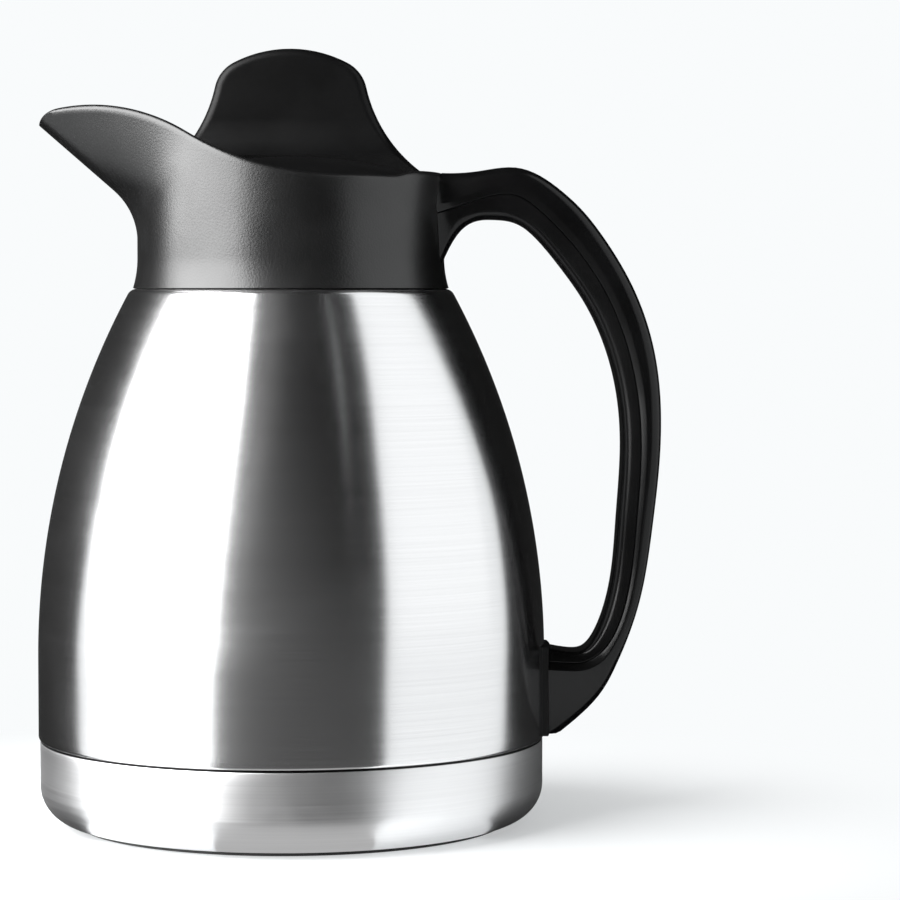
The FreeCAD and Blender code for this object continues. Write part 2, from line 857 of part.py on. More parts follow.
def bell_outline(inset, bottom):
    """The wing grip's outline seen from the side: a crown, a round corner and a flare to the rim."""
    crown = d.grip_crown_radius - inset
    corner = d.grip_corner_radius - inset
    flare = d.grip_flare_radius + inset
    crown_z = grip_top - d.grip_crown_radius
    sine = d.grip_crown_half / d.grip_crown_radius
    cosine = root(1 - sine * sine)
    between = d.grip_crown_radius - d.grip_corner_radius
    corner_x = between * sine
    corner_z = crown_z + between * cosine
    fall = d.grip_corner_fall
    lean = root(1 - fall * fall)
    across = d.grip_corner_radius + d.grip_flare_radius
    flare_x = corner_x + across * lean
    flare_z = corner_z + across * fall
    foot = lid_radius - d.grip_foot_margin - inset
    foot_run = flare_x - foot
    foot_z = flare_z - root(flare * flare - foot_run * foot_run)
    return [
        line(0, bottom),
        line(foot, bottom),
        line(foot, foot_z),
        arc(corner_x + corner * lean, corner_z + corner * fall, flare, (flare_x, flare_z), -1),
        arc(crown * sine, crown_z + crown * cosine, corner, (corner_x, corner_z), 1),
        arc(0, crown_z + crown, crown, (0, crown_z), 1),
    ]


dome_height = rim_height + d.dome_rise


def slab_outline(inset):
    """The wing grip's outline seen from the handle: a plate that spreads into the dome."""
    half = d.grip_half_thickness - inset
    scoop = d.grip_scoop_radius + inset
    waist = dome_height + d.grip_scoop_height
    drop = d.grip_scoop_height
    spread = d.grip_half_thickness + d.grip_scoop_radius - root(scoop * scoop - drop * drop)
    centre_y = d.grip_half_thickness + d.grip_scoop_radius
    top = grip_top + FORM_MARGIN
    return [
        line(-spread, lid_bottom),
        line(spread, lid_bottom),
        line(spread, dome_height),
        arc(half, waist, scoop, (centre_y, waist), -1),
        line(half, top),
        line(-half, top),
        line(-half, waist),
        arc(-spread, dome_height, scoop, (-centre_y, waist), -1),
    ]


def wing(label, inset, bottom):
    bell = turned(f"{label}_bell", bell_outline(inset, bottom))
    slab = extruded(f"{label}_slab", slab_outline(inset), ACROSS, lid_radius)
    return common(label, bell, slab)


def lid_cap():
    skirt = lid_radius - d.lid_skirt
    step = skirt - d.lid_step
    sphere = (lid_radius * lid_radius + d.dome_rise * d.dome_rise) / (d.dome_rise * 2)
    centre = (0, dome_height - sphere)
    roof = sphere - d.lid_wall
    roof_z = centre[1] + root(roof * roof - step * step)
    disc = turned("lid_disc", [
        line(0, dome_height - d.lid_wall),
        arc(step, roof_z, roof, centre, -1),
        line(step, plug_top),
        line(skirt, plug_top),
        line(skirt, lid_bottom),
        line(lid_radius, lid_bottom),
        line(lid_radius, rim_height),
        arc(0, dome_height, sphere, centre, 1),
    ])
    plate = wing("lid_wing", size_of(0), rim_height)
    DOC.recompute()
    rounded = DOC.addObject("Part::Fillet", "lid_wing_rounded")
    rounded.Base = plate
    limit = dome_height.value + d.grip_scoop_height.value
    rounded.Edges = [
        (index, d.grip_edge_round.value, d.grip_edge_round.value)
        for index, edge in enumerate(plate.Shape.Edges, 1)
        if edge.BoundBox.ZMax > limit and edge.BoundBox.YLength < edge.BoundBox.ZLength
        or edge.BoundBox.ZMin > limit
    ]
    post_top = dome_height + d.grip_scoop_height
    post = cylinder("lid_post", d.post_radius, post_top - plug_floor_top, plug_floor_top)
    outside = fused("lid_outside", [disc, rounded])
    hollow = cut("lid_hollow", outside, wing("lid_wing_void", d.lid_wall, plug_top))
    pilot = cylinder("lid_pilot", d.stopper_screw_radius + d.thread_gap,
                     d.stopper_screw_length, plug_bottom)
    return cut("lid_cap", fused("lid_with_post", [hollow, post]), pilot)


def chords(*rails):
    """Parameters for points along rails that run side by side, by their mean spacing."""
    steps = [0.0]
    for index in range(1, len(rails[0])):
        spans = [rail[index].distanceToPoint(rail[index - 1]) for rail in rails]
        steps.append(steps[-1] + sum(spans) / len(spans))
    return steps


def smooth(points, steps):
    curve = Part.BSplineCurve()
    curve.interpolate(Points=points, Parameters=steps)
    return curve


def handle_rails():
    """The handle's parting line and its two outlines, with the half width as the outlines' y."""
    wide, narrow = d.handle_half_width.value, d.handle_foot_half_width.value
    upper = [("root", d.handle_root_half_width.value)]
    upper += [(name, wide) for name in ("throat", "arm", "crest", "knee")]
    lower = [("palm", wide), ("calf", (wide + narrow) / 2)]
    lower += [(name, narrow) for name in ("shin", "elbow", "heel", "instep", "foot")]
    value = {alias: getattr(d, alias).value for alias in SIZES}
    collar, body, rim = collar_radius.value, d.body_radius.value, rim_height.value
    rows = [(name, collar + value[f"{name}_reach"], rim - value[f"{name}_drop"], half)
            for name, half in upper]
    rows.append(("sweep", body + value["sweep_reach"], rim - value["sweep_drop"], wide))
    rows += [(name, body + value[f"{name}_reach"], value[f"{name}_height"], half)
             for name, half in lower]
    middle = [Vector(x, 0, z) for _, x, z, _ in rows]
    steps = chords(middle)
    path = smooth(middle, steps)
    level = {"root": Vector(1, 0, 0), "foot": Vector(-1, 0, 0)}
    outer, inner = [], []
    for (name, _, _, half), at, step in zip(rows, middle, steps):
        along = level.get(name) or path.tangent(step)[0]
        away = Vector(-along.z, 0, along.x)
        aside = Vector(0, half, 0)
        outer.append(at + away * value[f"{name}_outer"] + aside)
        inner.append(at - away * value[f"{name}_inner"] + aside)
    steps = chords(middle, outer, inner)
    names = [name for name, *_ in rows]
    return SimpleNamespace(
        middle=smooth(middle, steps), outer=smooth(outer, steps), inner=smooth(inner, steps),
        whole=(steps[0], steps[-1]),
        grip=(steps[names.index("knee")], steps[names.index("shin")]))


def section(at, depth, start, half, rounding, lean):
    """A section across the handle, from a start near its parting line to a rounded far side."""
    away = Vector(depth).normalize()
    reach = depth.Length
    corner = half - (reach - start) * math.tan(lean)
    turn = math.pi / 2 - lean
    tangent = rounding * math.tan(turn / 2)
    side = (corner + tangent * math.sin(lean), reach - tangent * math.cos(lean))
    middle = (corner - tangent + rounding * math.sin(turn / 2), reach - rounding * (1 - math.cos(turn / 2)))

    def point(y, out):
        return at + Vector(0, y, 0) + away * out

    def arc_of(sign, *spots):
        return Part.Arc(*[point(sign * y, out) for y, out in spots])

    crown = (corner - tangent, reach)
    edges = [
        Part.LineSegment(point(half, start), point(*side)),
        arc_of(1, side, middle, crown),
        Part.LineSegment(point(*crown), point(-crown[0], reach)),
        arc_of(-1, crown, middle, side),
        Part.LineSegment(point(-side[0], side[1]), point(-half, start)),
        Part.LineSegment(point(-half, start), point(half, start)),
    ]
    return Part.Wire([edge.toShape() for edge in edges])


def handle_loft(label, rails, rail, span, count, wall, start, share):
    """A solid through sections between the parting line and one outline, inset by a wall."""
    first, last = span
    lean = math.radians(d.handle_draft.value)
    wires = []
    for index in range(count):
        step = first + (last - first) * index / (count - 1)
        at = rails.middle.value(step)
        edge = rail.value(step)
        depth = Vector(edge.x - at.x, 0, edge.z - at.z)
        depth = depth * (1 - wall / depth.Length)
        rounding = min(d.handle_edge_round.value, share * depth.Length)
        wires.append(section(at, depth, start, edge.y - wall, rounding, lean))
    thing = DOC.addObject("Part::Feature", label)
    thing.Shape = Part.makeLoft(wires, True, False)
    thing.Placement = Placement()
    return thing


WHOLE_COUNT = 40
CHANNEL_COUNT = 24
tab_top = d.tab_height + d.tab_thickness
foot_face = d.body_radius + d.pad_thickness
foot_screw_x = foot_face + d.foot_screw_reach


def collar_pilots(label):
    """Holes for the collar's screws, which run along the parting line and hold both halves."""
    return screw_sides(label, lambda name, y: cylinder(
        name, d.collar_screw_radius + d.thread_gap, collar_bore + d.collar_screw_length,
        collar_screw_height, 0, y, ALONG_X))


def handle_spine(form, rails, seat):
    gap, wall = d.parting_gap.value / 2, d.handle_wall.value
    screw_seat = d.tab_height - d.foot_screw_land
    pocket_top = d.bracket_bottom + d.bracket_height + d.fit_gap
    solid = handle_loft("spine_solid", rails, rails.outer, rails.whole, WHOLE_COUNT, 0, gap, 0.7)
    cuts = [
        handle_loft("spine_channel", rails, rails.outer, rails.grip, CHANNEL_COUNT, wall, -wall, 0.4),
        form,
        seat,
        box("spine_sole", d.body_radius, d.handle_root_half_width, d.pad_bottom - d.body_radius,
            d.body_radius, d.body_radius),
        box("spine_pocket", d.body_radius, d.bracket_half_width + d.fit_gap, d.tab_height,
            d.pad_thickness + d.tab_length + d.fit_gap, pocket_top - d.tab_height),
        cylinder("spine_counterbore", d.foot_screw_head + d.fit_gap, screw_seat, 0, foot_screw_x),
        cylinder("spine_screw_hole", d.foot_screw_radius + d.fit_gap, d.tab_height, 0, foot_screw_x),
    ]
    cuts += collar_pilots("spine_pilot")
    return cut("handle_spine", solid, fused("spine_cuts", cuts))


def handle_liner(form, rails, seat):
    """The inner half, whose parting face is cut by the outer half's own form, one gap away."""
    gap, wall = d.parting_gap.value / 2, d.handle_wall.value
    solid = handle_loft("liner_solid", rails, rails.inner, rails.whole, WHOLE_COUNT, 0, -gap * 4, 0.7)
    parting = handle_loft("liner_parting", rails, rails.outer, rails.whole, WHOLE_COUNT, -wall, -gap, 0.7)
    cuts = [
        handle_loft("liner_channel", rails, rails.inner, rails.grip, CHANNEL_COUNT, wall, -wall, 0.5),
        form,
        seat,
    ]
    cuts += collar_pilots("liner_pilot")
    return cut("handle_liner", cut("liner_parted", solid, parting), fused("liner_cuts", cuts))


def shell_ring(label, thickness, bottom, top):
    return ring_of(label, d.body_radius, d.body_radius + thickness, bottom, top)


def foot_pad():
    band = shell_ring("pad_band", d.pad_thickness, d.pad_bottom, d.pad_top)
    piece = common("pad_piece", band, box(
        "pad_width", 0, d.pad_half_width, d.pad_bottom, foot_face, d.pad_top - d.pad_bottom))
    window = box("pad_window", 0, d.bracket_half_width + d.fit_gap, d.bracket_bottom - d.fit_gap,
                 foot_face, d.bracket_height + d.fit_gap * 2)
    return cut("foot_pad", piece, window)


def handle_bracket():
    top = d.bracket_bottom + d.bracket_height
    band = shell_ring("bracket_band", d.bracket_thickness, d.bracket_bottom, top)
    plate = common("bracket_plate", band, box(
        "bracket_width", 0, d.bracket_half_width, d.bracket_bottom, foot_face, d.bracket_height))
    tab = box("bracket_tab", d.body_radius + d.bracket_thickness / 2, d.bracket_half_width, d.tab_height,
              d.pad_thickness + d.tab_length - d.bracket_thickness / 2, d.tab_thickness)
    hole = cylinder("bracket_hole", d.foot_screw_radius + d.thread_gap, tab_top, 0, foot_screw_x)
    return cut("handle_bracket", fused("bracket_whole", [plate, tab]), hole)


def foot_screw():
    fastener = screw("foot_screw", d.foot_screw_head, d.foot_screw_head_height,
                     d.foot_screw_radius, d.foot_screw_length)
    place(fastener, foot_screw_x, 0, d.tab_height - d.foot_screw_land)
    return fastener


def collar_screws():
    def make(name, y):
        fastener = screw(name, d.collar_screw_head, d.collar_screw_head_height,
                         d.collar_screw_radius, d.collar_screw_length)
        seat = root(collar_bore * collar_bore - (d.collar_screw_spread + d.collar_screw_head)
                    * (d.collar_screw_spread + d.collar_screw_head))
        place(fastener, seat - d.thread_gap, y, collar_screw_height, ALONG_X)
        return fastener

    group = DOC.addObject("Part::Compound", "collar_screws")
    group.Links = screw_sides("collar_screw", make)
    return group


def build():
    form = collar_form()
    rails = handle_rails()
    seat = cylinder("foot_seat", foot_face, d.shoulder_height, 0)
    return [
        outer_shell(),
        base_cup(),
        inner_flask(),
        getter(),
        vacuum_seal(),
        base_cover(),
        ring_of("foot_ring", foot_ring_inner, foot_ring_outer, 0, base_bottom),
        neck_gasket(),
        spout_collar(form),
        neck_ring(),
        neck_oring(),
        handle_spine(form, rails, seat),
        handle_liner(form, rails, seat),
        foot_pad(),
        handle_bracket(),
        foot_screw(),
        collar_screws(),
        stopper_gasket(),
        seal_retainer(),
        stopper_plug(),
        stopper_foam(),
        stopper_screw(),
        lid_cap(),
    ]


def export(nodes):
    DOC.recompute()
    failed = [thing.Label for thing in DOC.Objects if {"Invalid", "Error"} & set(thing.State)]
    failed += [node.Label for node in nodes if node.Shape.isNull() or not node.Shape.isValid()]
    if failed:
        raise RuntimeError(f"these objects failed: {sorted(set(failed))}")
    os.makedirs("parts", exist_ok=True)
    for node in nodes:
        node.Shape.exportStep(f"parts/{node.Label}.step")
        box_now = node.Shape.BoundBox
        print(f"{node.Label}: {len(node.Shape.Solids)} solid, {node.Shape.Volume:.0f} mm3, "
              f"z {box_now.ZMin:.1f} to {box_now.ZMax:.1f}")


export(build())
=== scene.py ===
import json
import math

import bmesh
import bpy
from bpy.props import FloatProperty, FloatVectorProperty, IntProperty, PointerProperty
from bpy.types import NodeSocket, Operator, Panel, PropertyGroup
from mathutils import Matrix, Vector

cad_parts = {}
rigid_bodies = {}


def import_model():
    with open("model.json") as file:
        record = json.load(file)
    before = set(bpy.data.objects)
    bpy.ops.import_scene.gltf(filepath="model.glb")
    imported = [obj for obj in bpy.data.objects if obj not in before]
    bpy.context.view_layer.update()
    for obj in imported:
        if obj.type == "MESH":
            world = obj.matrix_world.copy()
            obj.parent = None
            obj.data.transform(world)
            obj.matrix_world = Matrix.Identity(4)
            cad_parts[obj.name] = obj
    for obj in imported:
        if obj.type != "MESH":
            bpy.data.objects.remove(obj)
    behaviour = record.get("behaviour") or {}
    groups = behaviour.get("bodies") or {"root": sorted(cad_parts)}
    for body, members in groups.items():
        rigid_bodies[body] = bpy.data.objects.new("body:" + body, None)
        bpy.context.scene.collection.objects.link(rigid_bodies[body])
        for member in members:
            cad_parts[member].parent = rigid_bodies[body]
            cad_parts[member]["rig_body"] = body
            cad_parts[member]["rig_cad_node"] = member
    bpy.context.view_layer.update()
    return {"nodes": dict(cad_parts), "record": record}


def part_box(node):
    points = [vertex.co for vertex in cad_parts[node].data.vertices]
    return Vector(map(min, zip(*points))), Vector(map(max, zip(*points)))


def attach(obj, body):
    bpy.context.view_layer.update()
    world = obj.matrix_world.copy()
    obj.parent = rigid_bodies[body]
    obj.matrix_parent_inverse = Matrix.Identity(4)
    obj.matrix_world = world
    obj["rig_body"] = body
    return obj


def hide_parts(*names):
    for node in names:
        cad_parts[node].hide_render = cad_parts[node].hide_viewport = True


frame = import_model()

bl_info = {
    "name": "Vacuum Jug",
    "version": (1, 0, 0),
    "blender": (4, 5, 0),
    "location": "3D View > Sidebar > Vacuum Jug",
    "description": "Dresses a steel vacuum jug with a beaked collar, loop handle and screw stopper",
    "category": "Object",
}

MM = 0.001
FULL_TURN = 2 * math.pi

# How close two points are joined, and how often a search halves the stretch that it looks in
MERGE = 0.001 * MM
HALVINGS = 30

# How far the shell's inside leans in at its rolled edge
SEAM_TUCK = 0.02 * MM

SHELL_LOW, SHELL_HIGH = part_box("outer_shell")
BASE_LOW, BASE_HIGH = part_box("base_cup")

# The handle's parting line from the collar to the foot, in millimetres: place across, height, depth of
# the outer and of the inner half, and half the width
HANDLE_STATIONS = (
    (41.8, 177.8, 12.7, 20.4, 15.0),
    (48.2, 180.0, 10.4, 6.4, 12.5),
    (57.0, 182.8, 7.9, 6.5, 12.5),
    (64.8, 183.6, 7.9, 7.6, 12.5),
    (72.9, 178.6, 8.5, 6.4, 12.5),
    (83.6, 167.3, 8.4, 6.65, 12.5),
    (92.0, 154.5, 7.9, 6.3, 12.5),
    (99.5, 133.5, 7.2, 5.5, 12.5),
    (102.0, 111.0, 5.8, 5.3, 12.5),
    (100.8, 88.5, 4.9, 5.4, 11.25),
    (98.6, 69.0, 4.1, 5.2, 10.0),
    (91.4, 51.2, 5.7, 4.3, 10.0),
    (86.5, 47.7, 11.1, 3.4, 10.0),
    (80.5, 47.2, 20.0, 3.2, 10.0),
    (72.2, 47.8, 26.5, 4.4, 10.0),
)

# How far a finish varies over its surface: the ends of its colour and of its roughness as shares of the
# plain ones, and what a hand mark adds to the roughness
STEEL_VARIES = ((0.95, 1.04), (0.92, 1.08), 0.035)
PLASTIC_VARIES = ((0.85, 1.25), (0.94, 1.06), 0.05)

# The painted shade in the joint over the base, and the height over which it comes on
JOINT_SHADE = (0.02, 0.02, 0.02, 1.0)
JOINT_FADE = 0.2 * MM

# The pale studio, and the floor's two tones, width and depth under the jug
PALE = (0.947, 0.965, 0.973, 1.0)
FLOOR_TONES = ((0.94, 0.958, 0.966, 1.0), (0.95, 0.968, 0.976, 1.0))
FLOOR_SIZE = 60
FLOOR_DROP = 0.05 * MM

# Dark cards that only the jug's mirrors see: grey, ends of the mat on the floor, and rows of elevation and
# ends on the dome over it, all in degrees from the front
CARDS = {
    "front_card": ("front", (-32, 30), (
        (8, -31, 30), (25, -29.5, 30.7), (40, -29, 33), (53, -36, 34.6), (75, -44, 35))),
    "side_card": ("front", (30, 45), (
        (8, 30, 45), (25, 30.9, 47), (40, 34, 53), (53, 35.4, 59), (75, 35.2, 62))),
    "back_card": ("back", (117, 180), (
        (8, 115, 180), (25, 109.5, 180), (55, 107, 180), (75, 104, 180))),
    "far_card": ("back", (-180, -110), (
        (8, -180, -102), (30, -180, -98), (55, -180, -98), (75, -180, -98))),
    "top_card": ("back", None, (
        (66, -180, 180), (74, -180, 180), (82, -180, 180), (89, -180, 180))),
}

# Steps across a card, distances and height of a mat's rows, and the least share of its ends that they keep
CARD_STEPS = 36
MAT_DISTANCES = (0.064, 0.077, 0.1, 0.15, 0.3, 0.7)
MAT_HEIGHT = 0.4 * MM
MAT_OPENING = 0.5


def length(name, description, default):
    return FloatProperty(name=name, description=description, default=default, unit="LENGTH", precision=5)


def lean(name, description, degrees):
    return FloatProperty(name=name, description=description, default=math.radians(degrees), subtype="ANGLE")


def amount(name, description, default):
    return FloatProperty(name=name, description=description, default=default)


def count(name, description, default):
    return IntProperty(name=name, description=description, default=default, min=10)


def share(name, description, default):
    return FloatProperty(name=name, description=description, default=default, min=0.0, max=1.0,
                         subtype="FACTOR")


def tint(name, description, default):
    return FloatVectorProperty(name=name, description=description, default=default, size=3, min=0.0,
                               max=1.0, subtype="COLOR")


class VesselSizes(PropertyGroup):
    """Sizes of the steel shell and base."""
    radius: length("Body Radius", "Radius of the steel body at its belly", SHELL_HIGH.y)
    belly: length("Belly Height", "Height where the upright side turns into its arc", 48.9 * MM)
    shoulder: length("Shoulder Height", "Height of the ledge that the collar stands on", 156.3 * MM)
    shoulder_radius: length("Shoulder Radius", "Radius where the body's arc meets the shoulder", 46.8 * MM)
    shoulder_round: length("Shoulder Round", "Radius of the rounded shoulder edge", 3.0 * MM)
    neck_radius: length("Neck Radius", "Radius of the neck inside the collar", 41.0 * MM)
    wall: length("Wall", "Thickness of the sheet steel", 0.8 * MM)
    seam: length("Seam Height", "Height of the shell's rolled lower edge", SHELL_LOW.z)
    seam_roll: length("Seam Roll", "Radius of the rolled lower edge", 0.9 * MM)
    seam_gap: length("Seam Gap", "Height of the joint between shell and base", 0.5 * MM)
    base_inset: length("Base Inset", "How far the base stands back from the shell", 0.5 * MM)
    base_edge: length("Base Edge", "Radius of the base's edge under the joint", 0.4 * MM)
    base_play: length("Base Play", "Gap between the base's lip and the shell round it", 0.05 * MM)
    base_corner: length("Base Corner", "Radius of the base's lower corner", 10.5 * MM)
    base_foot: length("Base Foot", "Height of the base's underside", BASE_LOW.z)
    recess_edge: length("Recess Edge", "Radius where the recess in the underside begins", 56.0 * MM)
    recess_depth: length("Recess Depth", "Depth of the recess in the underside", 4.0 * MM)
    recess_lean: length("Recess Lean", "How far the recess's side leans in", 2.0 * MM)
    vent: length("Vent", "Radius of the hole for the vacuum seal", 1.5 * MM)
    steps: count("Steps", "Faces round the vessel", 192)


class CollarSizes(PropertyGroup):
    """Sizes of the collar and its beak."""
    radius: length("Radius", "Outer radius of the collar's upright wall", 44.8 * MM)
    wall: length("Wall", "Thickness of the collar's wall", 2.6 * MM)
    flare: length("Foot Flare", "How far the foot spreads at the shoulder", 1.4 * MM)
    flare_rise: length("Flare Rise", "Height over which the foot spreads", 9.0 * MM)
    foot: length("Foot Height", "Height of the collar's foot", 156.3 * MM)
    foot_edge: length("Foot Edge", "Height of the foot's turned-in edge", 0.25 * MM)
    foot_tuck: share("Foot Tuck", "Share of the foot's radius that the turned-in edge keeps", 0.985)
    skirt_bore: length("Skirt Bore", "Inner radius of the skirt round the neck", 41.3 * MM)
    flange_bottom: length("Flange Bottom", "Underside of the flange on the steel lip", 170.6 * MM)
    flange_top: length("Flange Top", "Top of the flange inside the collar", 173.0 * MM)
    flange_bore: length("Flange Bore", "Radius of the hole in the flange", 36.0 * MM)
    rim: length("Rim Height", "Height of the rim at the back", 188.4 * MM)
    beak_rise: length("Beak Rise", "Height above the foot where the beak begins", 13.5 * MM)
    beak_bend: length("Beak Bend", "Radius of the bend out into the beak", 20.0 * MM)
    beak_slope: amount("Beak Slope", "Run over rise of the beak's front", 1.15)
    nose: length("Nose", "Radius of the beak's tip, seen from above", 8.0 * MM)
    nose_rise: length("Nose Rise", "Height over the crest where that radius would be reached", 4.0 * MM)
    root_nose: length("Root Nose", "Radius of the beak's front where it leaves the collar", 32.0 * MM)
    crest_rise: length("Crest Rise", "Height of the beak's crest above the rim", 20.8 * MM)
    flat_end: length("Flat End", "Where the level rim turns up towards the beak", 16.5 * MM)
    valley: length("Valley", "Radius of the rim's hollow curve", 86.0 * MM)
    crest: length("Crest", "Radius of the rim's crest", 60.0 * MM)
    tip_reach: length("Tip Reach", "How far the tip stands from the jug's axis", 74.0 * MM)
    tip_round: length("Tip Round", "Radius of the tip, seen from the side", 6.0 * MM)
    saddle_rise: length("Saddle Rise", "Step up in the rim towards the handle", 1.6 * MM)
    saddle_start: length("Saddle Start", "Where that step begins", 30.0 * MM)
    saddle_radius: length("Saddle Radius", "Radius of that step's curves", 10.0 * MM)
    lip: length("Lip", "Height of the rounded lip on the rim", 1.5 * MM)
    lip_thinning: share("Lip Thinning", "Share of the lip's height that is lost at the tip", 0.75)
    lip_hold: amount("Lip Hold", "How close to the tip the lip keeps its height", 70.0)
    gather: share("Gather", "How much the columns of faces crowd round the beak", 0.45)
    columns: count("Columns", "Faces round the collar", 300)
    rows: count("Rows", "Faces up the collar's outer wall", 40)
    inner_rows: count("Inner Rows", "Faces down the collar's inner wall", 20)
    lip_rows: count("Lip Rows", "Faces over the lip", 10)


class HandleSizes(PropertyGroup):
    """Sizes of the two-part loop handle."""
    edge_round: length("Edge Round", "Radius of the handle's outer and inner edges", 4.0 * MM)
    edge_share: share("Edge Share", "The most of a thin half's depth that its edge takes", 0.65)
    draft: lean("Draft", "Lean of the handle's sides", 11.0)
    bevel: length("Bevel", "Width of the outer half's bevel along the parting line", 2.0 * MM)
    bevel_share: share("Bevel Share", "The most of a thin half's depth that the bevel takes", 0.3)
    bevel_lean: lean("Bevel Lean", "Lean of that bevel", 19.0)
    bevel_round: length("Bevel Round", "Radius of the bevel's outer edge", 1.0 * MM)
    parting_round: length("Parting Round", "Radius of the edges along the parting line", 0.3 * MM)
    liner_inset: length("Liner Inset", "How far the inner half's sides stand back", 1.2 * MM)
    parting_gap: length("Parting Gap", "Gap between the two halves", 0.1 * MM)
    pad_face: length("Pad Face", "Radius of the pad's face under the foot", 75.8 * MM)
    sole: length("Sole", "Height of the foot's flat underside", 26.0 * MM)
    screw_x: length("Screw Place", "Distance of the foot's screw from the jug's axis", 82.8 * MM)
    screw_bore: length("Screw Bore", "Radius of the hole that the screw's head lies in", 3.5 * MM)
    screw_seat: length("Screw Seat", "Height of the face under the screw's head", 34.0 * MM)
    steps: count("Steps", "Rings along the handle", 150)
    corner_steps: IntProperty(name="Corner Steps", description="Faces round each edge", default=8, min=2)


class Finishes(PropertyGroup):
    """Colours and roughness of the jug's materials."""
    steel: tint("Steel", "Colour of the brushed steel", (0.88, 0.88, 0.885))
    steel_rough: share("Steel Roughness", "Roughness of the brushed steel", 0.2)
    base_rough: share("Base Roughness", "Roughness of the matt steel base", 0.35)
    black: tint("Black", "Colour of the moulded plastic", (0.0025, 0.0025, 0.0026))
    collar_rough: share("Collar Roughness", "Roughness of the grained collar", 0.33)
    handle_rough: share("Handle Roughness", "Roughness of the satin handle", 0.2)
    cap_rough: share("Cap Roughness", "Roughness of the stopper's cap", 0.4)
    silicone: tint("Silicone", "Colour of the seals", (0.62, 0.62, 0.6))


class StudioSizes(PropertyGroup):
    """The camera and the light."""
    lens: FloatProperty(name="Lens", description="Focal length", default=129.6, unit="CAMERA")
    distance: length("Camera Distance", "How far the camera stands from the jug's axis", 0.95)
    height: length("Camera Height", "Height of the camera", 0.1563)
    aim_x: length("Aim Across", "Where the camera aims, along X", 0.0465)
    aim_z: length("Aim Height", "Where the camera aims, in height", 0.10905)
    middle: length("Middle", "Height of the point that cards and lamps stand round", 0.1)
    card_radius: length("Card Radius", "Distance of the dark cards from the jug", 1.3)
    mirror_depth: length("Mirror Depth", "How deep in the jug the floor's mirror images meet", 0.038)
    lamp_distance: length("Lamp Distance", "Distance of the soft boxes from the jug", 1.6)
    lamp_height: length("Lamp Height", "Height of the soft boxes", 2.5)
    lamp_rise: lean("Lamp Rise", "Elevation of the soft boxes", 24.0)
    key_turn: lean("Key Turn", "Angle of the left soft box from the front", -64.5)
    key_width: length("Key Width", "Width of the left soft box", 2.1)
    key_level: amount("Key Level", "Brightness of the left soft box, with white as 1", 9.0)
    fill_turn: lean("Fill Turn", "Angle of the right soft box from the front", 75.0)
    fill_width: length("Fill Width", "Width of the right soft box", 1.8)
    fill_level: amount("Fill Level", "Brightness of the right soft box, with white as 1", 0.12)
    air: amount("Air", "Strength of the light from all round", 0.25)


class JugSettings(PropertyGroup):
    """All that the jug's operators read."""
    vessel: PointerProperty(type=VesselSizes)
    collar: PointerProperty(type=CollarSizes)
    handle: PointerProperty(type=HandleSizes)
    finishes: PointerProperty(type=Finishes)
    studio: PointerProperty(type=StudioSizes)


def settings(context):
    return context.scene.vacuum_jug


# Shader nodes


def fill(tree, node, inputs):
    """Gives a node its inputs: a socket is linked, and a plain value is set."""
    for label, source in inputs.items():
        if isinstance(source, NodeSocket):
            tree.links.new(source, node.inputs[label])
        else:
            node.inputs[label].default_value = source


def add_node(tree, kind, place, inputs=None, **values):
    node = tree.nodes.new(kind)
    node.location = place
    for name, value in values.items():
        setattr(node, name, value)
    fill(tree, node, inputs or {})
    return node


def spot_on(tree, place):
    """The spot on the piece, in metres."""
    return add_node(tree, "ShaderNodeTexCoord", place).outputs["Object"]


def split_spot(tree, spot, place):
    return add_node(tree, "ShaderNodeSeparateXYZ", place, {0: spot}).outputs


def from_middle(tree, spot, place):
    """How far a spot is from the piece's origin."""
    return add_node(tree, "ShaderNodeVectorMath", place, {0: spot}, operation="LENGTH").outputs["Value"]


def noise(tree, place, **inputs):
    return add_node(tree, "ShaderNodeTexNoise", place, inputs).outputs["Fac"]


def maths(tree, operation, place, *terms):
    return add_node(tree, "ShaderNodeMath", place, dict(enumerate(terms)), operation=operation).outputs[0]


def ranged(tree, source, place, low=0.0, high=1.0, start=0.0, end=1.0, soft=False):
    """A value that goes from low to high while its source goes from start to end."""
    inputs = {"Value": source, "From Min": start, "From Max": end, "To Min": low, "To Max": high}
    way = "SMOOTHSTEP" if soft else "LINEAR"
    return add_node(tree, "ShaderNodeMapRange", place, inputs, interpolation_type=way).outputs["Result"]


def tinted(tree, mask, first, second, place):
    """A colour between two others."""
    inputs = {"Factor": mask, "A": first, "B": second}
    return add_node(tree, "ShaderNodeMix", place, inputs, data_type="RGBA").outputs["Result"]


def brush_lines(group, inputs):
    """Fine lines round the jug's axis, as a turning brush leaves them."""
    scale = add_node(group, "ShaderNodeCombineXYZ", (-700, 0), {
        "X": inputs["Run"], "Y": inputs["Run"], "Z": inputs["Lines"]})
    stretched = add_node(group, "ShaderNodeVectorMath", (-500, 200), {
        0: spot_on(group, (-900, 300)), 1: scale.outputs[0]}, operation="MULTIPLY").outputs[0]
    fine = noise(group, (-300, 300), Vector=stretched, Scale=1.0, Detail=3.0, Roughness=0.7)
    broad = noise(group, (-300, 0), Vector=stretched, Scale=0.16, Detail=2.0)
    part = maths(group, "MULTIPLY", (-100, 0), broad, 0.2)
    both = maths(group, "MULTIPLY_ADD", (0, 200), fine, 0.8, part)
    return {"Height": both, "Tone": ranged(group, both, (300, 0), start=0.3, end=0.7)}


